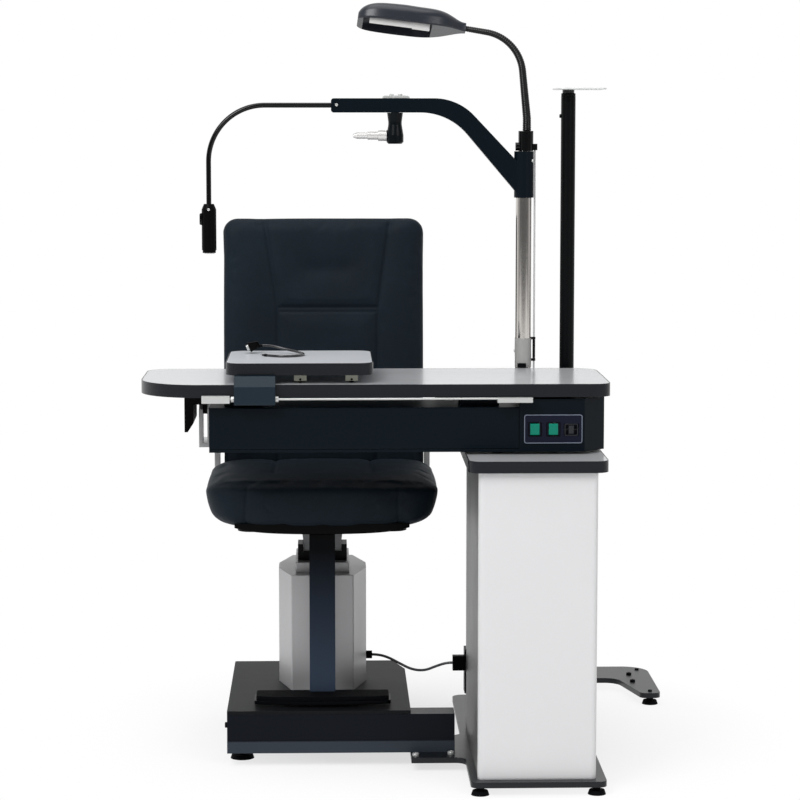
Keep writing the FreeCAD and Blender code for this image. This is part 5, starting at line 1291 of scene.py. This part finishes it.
    def pole_foot(self) -> None:
        """The dark cable outlet at the pole's foot, the cable's sleeve and its clips."""
        shop = self.shop
        outlet = shop.block("pole_outlet", (0.2195, -0.1035, 0.8440), (0.2385, -0.0992, 0.8545))
        shop.inset(outlet, lambda centre, normal: normal.y < -0.9, (0.0022, -0.0018))
        shop.bevel(outlet, lambda middle, along: middle.y < -0.1034, 0.0006, 2)
        shop.close(outlet, Body.TABLE, "black_coat")
        for number, height in enumerate(self.clip_heights):
            low, high = (0.2504, -0.0856, height - 0.0028), (0.2606, -0.0784, height + 0.0028)
            clip = shop.block(f"cable_clip_{number + 1}", low, high)
            shop.bevel(clip, lambda middle, along: abs(along.z) > 0.9 and middle.x > 0.255, 0.0030, 4)
            shop.bevel(clip, lambda middle, along: abs(along.z) < 0.5 and middle.x > 0.2505, 0.0006, 2)
            shop.close(clip, Body.TABLE, "gloss_black", Shading.SOFT)
        sleeve = shop.round("cable_sleeve", (0.257, -0.082, 0.8650), (0.0, 0.0, 1.0), 0.0031, 0.0400, 24)
        shop.inset(sleeve, lambda centre, normal: abs(normal.z) > 0.9, (0.0009, 0.0012))
        shop.bevel(sleeve, lambda middle, along: abs(along.z) < 0.5, 0.0003, 2)
        shop.close(sleeve, Body.TABLE, "gloss_black", Shading.SOFT)

    def stem_collar(self) -> None:
        """The collar that carries the mast's width up to the shelf."""
        collar = self.shop.round("stem_collar", self.mast_top, (0.0, 0.0, 1.0), 0.0158, 0.0058, 40)
        self.shop.bevel(collar, lambda middle, along: abs(along.z) < 0.5, 0.0006, 2)
        self.shop.close(collar, Body.STEM, "black_coat", Shading.SOFT)

    def bowed(self, point: Vector) -> Vector:
        """Where a point of the straight trim goes: its ends rise and draw back."""
        side = abs(point.x - self.trim_middle) / self.trim_half
        rise = 0.0060 * side ** 2 + 0.0075 * side ** 6
        share = (self.trim_high - point.z) / (self.trim_high - self.trim_low)
        return point + Vector((0.0, 0.008 * side ** 4, rise * share))

    def seat_trim(self) -> None:
        """The bowed trim under the seat's front edge, which hides the pan."""
        shop = self.shop
        left, right = self.trim_middle - self.trim_half, self.trim_middle + self.trim_half
        trim = shop.block("seat_trim", (left, -0.2270, self.trim_low), (right, -0.2150, self.trim_high))
        shop.edges(trim, lambda middle, along: abs(along.x) > 0.9)
        bpy.ops.mesh.subdivide(number_cuts=23)
        edge = self.trim_low + 0.0005
        shop.bevel(trim, lambda middle, along: middle.z < edge and abs(along.y) < 0.5, 0.0025, 3)
        shop.shape(trim, self.bowed)
        shop.close(trim, Body.SEAT, "black_moulding", Shading.SOFT)

    def rail_sleeves(self) -> None:
        """The stepped sleeves on the rail at both sides of the tray's bracket."""
        shop, axis = self.shop, Vector(self.rail)
        for name, start, facing in (("rail_sleeve_right", -0.3068, 1.0), ("rail_sleeve_left", -0.3922, -1.0)):
            sleeve = shop.round(name, (start, *self.rail), (facing, 0.0, 0.0), 0.0062, self.sleeve_reach, 32)
            end = start + facing * self.sleeve_reach
            shop.inset(sleeve, lambda centre, normal: normal.x * facing > 0.9, (0.0014, 0.0), (0.0006, -0.0006))
            shop.bevel(
                sleeve,
                lambda middle, along: abs(middle.x - end) < 0.0001 and (middle.yz - axis).length > 0.0058,
                0.0008,
                2,
            )
            shop.close(sleeve, Body.TRAY, "plated_parts")

    def build(self) -> None:
        """Builds every fitting."""
        self.screws()
        self.panel()
        self.arm_cap()
        self.near_lamp()
        self.pole_wrap()
        self.pole_foot()
        self.rail_sleeves()
        self.stem_collar()
        self.seat_trim()
        log.info("fittings built")


@dataclass
class TrayConnector:
    """The connector of the tray's lead: a tilted hood with a metal mouth, and a small plug at the far end.

    Attributes:
        shop: The workshop.
        middle: The middle of its hood, in metres.
        tilt: How far it is tilted, in degrees.
        relief_foot: Where the ribbed relief starts, in metres.
        relief_ribs: How many steps the relief has.
        plug_steps: How far each step of the far plug is inset and how long it is, in metres.
    """

    shop: Workshop
    middle: Point = (-0.3600, -0.200, 0.9030)
    tilt: float = 22.0
    relief_foot: Point = (-0.3530, -0.200, 0.9010)
    relief_ribs: int = 4
    plug_steps: tuple[tuple[float, float], ...] = (
        (0.0003, 0.0030), (0.0006, 0.0020), (0.0003, 0.0035), (0.0015, 0.0075),
    )

    def turned(self, piece: bpy.types.Object, finish: str) -> bpy.types.Object:
        """Tilts the open piece about the connector's middle and finishes it."""
        bpy.ops.mesh.select_all(action="SELECT")
        bpy.ops.transform.rotate(value=math.radians(self.tilt), orient_axis="Y", center_override=self.middle)
        return self.shop.close(piece, Body.TRAY, finish)

    def build_hood(self) -> bpy.types.Object:
        """The moulded hood, drawn in towards the lead.

        Returns:
            The hood.
        """
        shop = self.shop
        x, y, z = self.middle
        low, high = (x - 0.0085, y - 0.0135, z - 0.0105), (x + 0.0105, y + 0.0135, z + 0.0105)
        hood = shop.block("connector_hood", low, high)
        shop.faces(hood, lambda centre, normal: normal.x > 0.9)
        bpy.ops.transform.resize(value=(1.0, 0.55, 0.62), center_override=(x + 0.0105, y, z))
        shop.grow(0.0012, Vector((0.0035, 0.0, 0.0)))
        shop.inset(
            hood, lambda centre, normal: abs(normal.y) > 0.8 and abs(centre.x - x) < 0.006, (0.0028, -0.0008)
        )
        shop.bevel(
            hood, lambda middle, along: abs(middle.x - x) < 0.0100 and abs(middle.y - y) > 0.0040, 0.0011, 3
        )
        return self.turned(hood, "black_moulding")

    def build_mouth(self) -> bpy.types.Object:
        """The plated mouth with its slanted sides and its pin field.

        Returns:
            The mouth.
        """
        shop = self.shop
        x, y, z = self.middle
        low, high = (x - 0.0140, y - 0.0115, z - 0.0060), (x - 0.0084, y + 0.0115, z + 0.0060)
        mouth = shop.block("connector_mouth", low, high)
        shop.faces(mouth, lambda centre, normal: normal.z < -0.9)
        bpy.ops.transform.resize(value=(1.0, 0.80, 1.0), center_override=(x, y, z))
        shop.bevel(mouth, lambda middle, along: abs(along.x) > 0.9, 0.0022, 4)
        shop.faces(mouth, lambda centre, normal: normal.x < -0.9)
        shop.grow(0.0009, Vector((0.0035, 0.0, 0.0)))
        return self.turned(mouth, "plated_parts")

    def build_relief(self) -> bpy.types.Object:
        """The ribbed relief where the lead leaves the hood.

        Returns:
            The relief.
        """
        shop = self.shop
        relief = shop.round("connector_relief", self.relief_foot, (1.0, 0.0, 0.2), 0.0048, 0.0030, 24)
        for number in range(self.relief_ribs):
            least = self.relief_foot[0] + 0.0026 * (number + 1)
            shop.faces(relief, lambda centre, normal: normal.x > 0.9 and centre.x > least)
            shop.grow(0.0010 if number % 2 == 0 else -0.0006, Vector((0.0027, 0.0, 0.0006)))
        return shop.close(relief, Body.TRAY, "black_moulding")

    def build_plug(self, end: Point, before: Point) -> bpy.types.Object:
        """The small round plug at the lead's far end, lying on the tray.

        Args:
            end: The lead's last point, in metres.
            before: The point before it, in metres.

        Returns:
            The plug.
        """
        shop = self.shop
        heading = (Vector(end) - Vector(before)).normalized()
        foot = Vector(end) - heading * 0.002
        plug = shop.round("lead_plug", tuple(foot), tuple(heading), 0.0030, 0.0060, 24)
        for thickness, step in self.plug_steps:
            reach = max((spot.co - foot).dot(heading) for spot in bmesh.from_edit_mesh(plug.data).verts)
            least = reach - 0.0002
            shop.faces(
                plug, lambda centre, normal: normal.dot(heading) > 0.9 and (centre - foot).dot(heading) > least
            )
            shop.grow(thickness, heading * step)
        return shop.close(plug, Body.TRAY, "black_moulding")


# ---------------------------------------------------------------------- cords


@dataclass
class Cords:
    """The chair's supply cord and the lead that lies on the tray.

    Attributes:
        paint: The materials.
        shop: The workshop.
        chair_radius: Half of the chair cord's diameter, in metres.
        lead_radius: Half of the tray lead's diameter, in metres.
        chair_length: The chair cord's length, in metres.
        lead_length: The tray lead's length, in metres.
        chair_points: The chair cord's control points, in metres.
        lead_points: The tray lead's control points, in metres.
    """

    paint: Paintwork
    shop: Workshop
    chair_radius: float = 0.003
    lead_radius: float = 0.0026
    chair_length: float = 0.2147
    lead_length: float = 0.2337
    chair_points: tuple[Point, ...] = (
        (-0.0995, 0.04, 0.174),
        (-0.0865, 0.04, 0.174),
        (-0.0636, 0.02955, 0.16992),
        (-0.03847, 0.01435, 0.15904),
        (-0.00975, -0.00655, 0.14816),
        (0.01897, -0.02745, 0.1502),
        (0.0441, -0.04455, 0.16448),
        (0.067, -0.055, 0.174),
        (0.08, -0.055, 0.174),
    )
    lead_points: tuple[Point, ...] = (
        (-0.341, -0.2, 0.904),
        (-0.33, -0.2, 0.904),
        (-0.31337, -0.2, 0.90188),
        (-0.29342, -0.206, 0.89695),
        (-0.26732, -0.221, 0.89272),
        (-0.2489, -0.248, 0.8899),
        (-0.25197, -0.281, 0.8899),
        (-0.27653, -0.3035, 0.8899),
        (-0.30723, -0.302, 0.8899),
        (-0.32872, -0.281, 0.8899),
    )

    def smooth_line(self, name: str, points: Sequence[Point], radius: float) -> bpy.types.Object:
        """A round cord on one smooth line.

        Args:
            name: The piece's name.
            points: The line's control points.
            radius: Half of the cord's diameter.

        Returns:
            The curve object.
        """
        curve = bpy.data.curves.new(name, "CURVE")
        curve.dimensions = "3D"
        line = curve.splines.new("NURBS")
        line.points.add(len(points) - 1)
        for spot, place in zip(line.points, points):
            spot.co = (*place, 1.0)
        line.order_u = 3
        line.use_endpoint_u = True
        line.resolution_u = 12
        curve.bevel_depth = radius
        curve.bevel_resolution = 5
        curve.use_fill_caps = True
        piece = bpy.data.objects.new(name, curve)
        bpy.context.scene.collection.objects.link(piece)
        return piece

    def build(self, nodes: dict[str, bpy.types.Object]) -> None:
        """Lays both cords on the routes of their nodes.

        Args:
            nodes: The frame's nodes by name; not used.
        """
        supply = self.smooth_line("chair_supply_cord", self.chair_points, self.chair_radius)
        self.paint.dress(supply, "cord_jacket")
        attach(supply, Body.BASE.value)
        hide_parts("chair_cord")
        connector = TrayConnector(self.shop)
        hood = connector.build_hood()
        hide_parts("lead_connector")
        ends = [hood, connector.build_mouth(), connector.build_relief()]
        ends.append(connector.build_plug(self.lead_points[-1], self.lead_points[-2]))
        lead = self.smooth_line("tray_instrument_lead", self.lead_points, self.lead_radius)
        self.paint.dress(lead, "lead_jacket")
        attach(lead, Body.TRAY.value)
        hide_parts("tray_lead")
        log.info("cords laid: chair supply, tray lead")


# ----------------------------------------------------------------- upholstery


@dataclass
class Seam:
    """A sewn line on a cushion's face.

    Attributes:
        line: Its points across and up the face, in metres.
        depth: How far the thread pulls the cover in, in metres.
        width: Half of the groove's width, in metres.
        front: Whether the line runs over the border at the front instead of the main face.
    """

    line: tuple[tuple[float, float], ...]
    depth: float = 0.004
    width: float = 0.0045
    front: bool = False

    def distance(self, across: float, along: float) -> float:
        """How far a point of the face is from the line.

        Args:
            across: The point's place across the face.
            along: The point's place up the face.

        Returns:
            The distance in metres.
        """
        nearest = 1.0
        for (ax, ay), (bx, by) in zip(self.line, self.line[1:]):
            dx, dy = bx - ax, by - ay
            share = ((across - ax) * dx + (along - ay) * dy) / (dx * dx + dy * dy)
            share = clamped(share)
            nearest = min(nearest, math.hypot(across - ax - share * dx, along - ay - share * dy))
        return nearest


@dataclass
class Cushion:
    """A foam cushion with a sewn cover, swollen from its node's shape.

    Attributes:
        node: The CAD node that it stands for.
        name: The piece's name.
        shrink: How far the start shape is drawn in, in metres.
        cap: How far the cover may swell, in metres.
        voxel: The remesh size, in metres.
        margin: How far it stays inside its node's box, in metres.
        pull: How far the cover gives way beside a seam, in metres.
        pull_width: How wide the cover gives way, in metres.
        ease: How deep the slow ease of the cover is, in metres.
        ease_scale: The ease's scale.
        seams: The seams.
    """

    node: str
    name: str
    shrink: float = 0.007
    cap: float = 0.009
    voxel: float = 0.006
    margin: float = 0.0005
    pull: float = 0.0034
    pull_width: float = 0.020
    ease: float = 0.00072
    ease_scale: float = 17.0
    seams: tuple[Seam, ...] = ()

    def face_place(self, point: Vector) -> tuple[float, float, float]:
        """The place of a point across and up the main face, and how much it lies on that face, 0 to 1."""
        raise NotImplementedError

    def inward(self) -> Vector:
        """The direction into the cushion from its main face."""
        raise NotImplementedError

    def border_place(self, point: Vector) -> tuple[float, float, float]:
        """The place of a point across and up the front border, and how much it lies on it, 0 to 1."""
        return point.x, point.z, 0.0

    def form(self, point: Vector) -> Vector:
        """Where a point of the even shape goes before the cover is filled."""
        return point

    def start_shape(self, source: bpy.types.Object) -> bpy.types.Object:
        """Copies the node's mesh, draws it in and gives it even faces.

        Args:
            source: The node's object.

        Returns:
            The new object.
        """
        piece = bpy.data.objects.new(self.name, source.data.copy())
        bpy.context.scene.collection.objects.link(piece)
        piece.data.materials.clear()
        bpy.ops.object.select_all(action="DESELECT")
        piece.select_set(True)
        bpy.context.view_layer.objects.active = piece
        bpy.ops.object.mode_set(mode="EDIT")
        bpy.ops.mesh.select_all(action="SELECT")
        bpy.ops.mesh.remove_doubles(threshold=0.00001)
        bpy.ops.object.mode_set(mode="OBJECT")
        low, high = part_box(self.node)
        centre, half = (low + high) / 2, (high - low) / 2
        for spot in piece.data.vertices:
            for axis in range(3):
                share = (spot.co[axis] - centre[axis]) / half[axis]
                spot.co[axis] -= share * self.shrink
        mesh_step = piece.modifiers.new("even", "REMESH")
        mesh_step.mode = "VOXEL"
        mesh_step.voxel_size = self.voxel
        bpy.ops.object.modifier_apply(modifier="even")
        for spot in piece.data.vertices:
            spot.co = self.form(spot.co)
        return piece

    def swell(self, piece: bpy.types.Object) -> None:
        """Blows the cover up a little as foam does, with the movement capped.

        Args:
            piece: The cushion's object.
        """
        before = [spot.co.copy() for spot in piece.data.vertices]
        scene = bpy.context.scene
        cloth = piece.modifiers.new("fill", "CLOTH")
        cloth.settings.use_pressure = True
        cloth.settings.uniform_pressure_force = 4.0
        cloth.settings.effector_weights.gravity = 0.0
        cloth.settings.quality = 4
        cloth.point_cache.frame_start = 1
        cloth.point_cache.frame_end = 20
        for frame in range(1, 21):
            scene.frame_set(frame)
        shown = piece.evaluated_get(bpy.context.evaluated_depsgraph_get())
        after = [spot.co.copy() for spot in shown.data.vertices]
        piece.modifiers.remove(cloth)
        scene.frame_set(1)
        for spot, start, end in zip(piece.data.vertices, before, after):
            move = end - start
            if move.length > self.cap:
                move *= self.cap / move.length
            spot.co = start + move

    def fit(self, piece: bpy.types.Object) -> None:
        """Draws the cushion out evenly until it fills its node's box.

        Args:
            piece: The cushion's object.
        """
        low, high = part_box(self.node)
        spots = piece.data.vertices
        for axis in range(3):
            least = min(spot.co[axis] for spot in spots)
            most = max(spot.co[axis] for spot in spots)
            start, end = low[axis] + self.margin, high[axis] - self.margin
            for spot in spots:
                spot.co[axis] = start + (spot.co[axis] - least) / (most - least) * (end - start)

    def pulled(self, across: float, along: float, front: bool) -> float:
        """How deep the seams of one face pull the cover in at a place of it.

        Args:
            across: The place across the face.
            along: The place up the face.
            front: Whether the face is the front border.

        Returns:
            The depth in metres.
        """
        deep = 0.0
        for seam in self.seams:
            if seam.front is front:
                gap = seam.distance(across, along)
                stitch = seam.depth * math.exp(-((gap / seam.width) ** 2))
                deep = max(deep, stitch + self.pull * math.exp(-((gap / self.pull_width) ** 2)))
        return deep

    def sew(self, piece: bpy.types.Object) -> None:
        """Pulls the cover in along each seam and puts slow ease into it.

        Args:
            piece: The cushion's object.
        """
        into = self.inward()
        piece.data.update()
        for spot in piece.data.vertices:
            across, along, share = self.face_place(spot.co)
            side, rise, border = self.border_place(spot.co)
            move = into * (-noise.noise(spot.co * self.ease_scale) * self.ease)
            if share > 0.0:
                move += into * (share * self.pulled(across, along, False))
            if border > 0.0:
                move += DEEP * (border * self.pulled(side, rise, True))
            spot.co += move

    def build(self, nodes: dict[str, bpy.types.Object], paint: Paintwork, body: Body) -> bpy.types.Object:
        """Builds the cushion and puts it in its node's place.

        Args:
            nodes: The frame's nodes by name.
            paint: The materials.
            body: The body that it rides on.

        Returns:
            The cushion's object.
        """
        piece = self.start_shape(nodes[self.node])
        self.swell(piece)
        self.fit(piece)
        finer = piece.modifiers.new("finer", "SUBSURF")
        finer.levels = finer.render_levels = 1
        bpy.ops.object.modifier_apply(modifier="finer")
        self.sew(piece)
        for face in piece.data.polygons:
            face.use_smooth = True
        paint.dress(piece, "chair_cover")
        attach(piece, body.value)
        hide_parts(self.node)
        log.info("cushion sewn: %s, %d faces", self.name, len(piece.data.polygons))
        return piece


@dataclass
class Backrest(Cushion):
    """The tall back cushion, leaning back, with side bolsters and a cross seam.

    Attributes:
        lean: How far it leans back, in degrees.
        foot: The middle of its front's lower edge, in metres.
        front_depth: How deep into the cushion its front face reaches, in metres.
        front_blend: Over how much of that depth the seams fade, in metres.
    """

    node: str = "backrest_cushion"
    name: str = "backrest_upholstery"
    lean: float = 4.6
    foot: Point = (-0.208, 0.188, 0.566)
    front_depth: float = 0.045
    front_blend: float = 0.012
    seams: tuple[Seam, ...] = (
        Seam(((-0.1376, 0.600), (-0.106, 0.390), (-0.106, 0.0))),
        Seam(((0.1558, 0.600), (0.126, 0.3855), (0.1234, 0.0))),
        Seam(((-0.106, 0.3905), (0.126, 0.3905)), depth=0.0050, width=0.004),
        Seam(((-0.106, 0.3815), (0.126, 0.3815)), depth=0.0035, width=0.003),
        Seam(((-0.030, 0.480), (0.046, 0.480)), depth=0.0050, width=0.062),
    )

    def inward(self) -> Vector:
        """The direction into the cushion, square to its front."""
        turn = math.radians(self.lean)
        return Vector((0.0, math.cos(turn), -math.sin(turn)))

    def face_place(self, point: Vector) -> tuple[float, float, float]:
        """The place across and up the front face, and the share of a point that lies on it.

        Args:
            point: A point of the cushion.

        Returns:
            Across, up and the share from 0 to 1.
        """
        turn = math.radians(self.lean)
        away = point - Vector(self.foot)
        along = away.z * math.cos(turn) + away.y * math.sin(turn)
        depth = away.y * math.cos(turn) - away.z * math.sin(turn)
        share = clamped((self.front_depth - depth) / self.front_blend)
        return away.x, along, share


@dataclass
class Seat(Cushion):
    """The deep seat cushion with a border sewn to its top.

    Attributes:
        centre_x: Its middle across, in metres.
        half_width: Half of its width, in metres.
        crest: The height where it is widest, in metres.
        taper: How far below the crest it draws in fully, in metres.
        crown: How far above the crest it draws in fully, in metres.
        crown_in: How much it draws in above the crest, in metres.
        floor_rise: How much the ends of its underside rise, in metres.
        foot_in: How much it draws in at its foot, in metres.
        front_in: How much its front draws back at the foot, in metres.
        front_start: Where its front part starts along Y, in metres.
        front_reach: How long the front part takes to draw back fully, in metres.
        top_start: The height where its top face starts, in metres.
        border_start: Where its front border starts along Y, in metres.
        blend: Over how much the seams fade, in metres.
    """

    node: str = "seat_cushion"
    name: str = "seat_upholstery"
    centre_x: float = -0.212
    half_width: float = 0.247
    crest: float = 0.592
    taper: float = 0.085
    crown: float = 0.02
    crown_in: float = 0.004
    floor_rise: float = 0.015
    foot_in: float = 0.017
    front_in: float = 0.012
    front_start: float = -0.15
    front_reach: float = 0.06
    top_start: float = 0.575
    border_start: float = -0.205
    blend: float = 0.012
    seams: tuple[Seam, ...] = (
        Seam(((-0.107, -0.09), (-0.107, 0.19)), depth=0.003),
        Seam(((0.110, -0.09), (0.110, 0.19)), depth=0.003),
        Seam(((-0.420, 0.603), (0.0, 0.603)), depth=0.0030, width=0.0050, front=True),
        Seam(((-0.374, 0.600), (-0.378, 0.522)), depth=0.0028, width=0.0040, front=True),
        Seam(((-0.048, 0.600), (-0.046, 0.522)), depth=0.0016, width=0.0040, front=True),
    )

    def inward(self) -> Vector:
        """Straight down into the seat."""
        return Vector((0.0, 0.0, -1.0))

    def form(self, point: Vector) -> Vector:
        """Draws the seat in below its crest and lifts the ends of its underside.

        Args:
            point: A point of the even shape.

        Returns:
            Its new place.
        """
        side = (point.x - self.centre_x) / self.half_width
        below = clamped((self.crest - point.z) / self.taper)
        above = clamped((point.z - self.crest) / self.crown)
        shift = -side * abs(side) * self.foot_in * below ** 1.5 - side * abs(side) ** 5 * self.crown_in * above
        lift = self.floor_rise * min(1.0, abs(side)) ** 2.6 * below
        back = self.front_in * below ** 1.6 * clamped((self.front_start - point.y) / self.front_reach)
        return Vector((point.x + shift, point.y + back, point.z + lift))

    def border_place(self, point: Vector) -> tuple[float, float, float]:
        """The place across and up the front border, and the share of a point that lies on it.

        Args:
            point: A point of the cushion.

        Returns:
            Across, up and the share from 0 to 1.
        """
        return point.x, point.z, clamped((self.border_start - point.y) / self.blend)

    def face_place(self, point: Vector) -> tuple[float, float, float]:
        """The place across and back on the top face, and the share of a point that lies on it.

        Args:
            point: A point of the cushion.

        Returns:
            Across, back and the share from 0 to 1.
        """
        return point.x - self.centre_x, point.y, clamped((point.z - self.top_start) / self.blend)


def main() -> None:
    """Builds the unit's looks piece by piece."""
    logging.basicConfig(level=logging.INFO, format="%(name)s: %(message)s")
    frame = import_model()
    nodes = frame["nodes"]
    studio = Studio()
    studio.build_camera()
    paint = Paintwork()
    paint.build()
    shop = Workshop(paint)
    Cords(paint, shop).build(nodes)
    paint.dress_nodes(nodes)
    Backrest().build(nodes, paint, Body.SEAT)
    Seat().build(nodes, paint, Body.SEAT)
    Fittings(shop).build()
    studio.build()


if __name__ == "__main__":
    main()
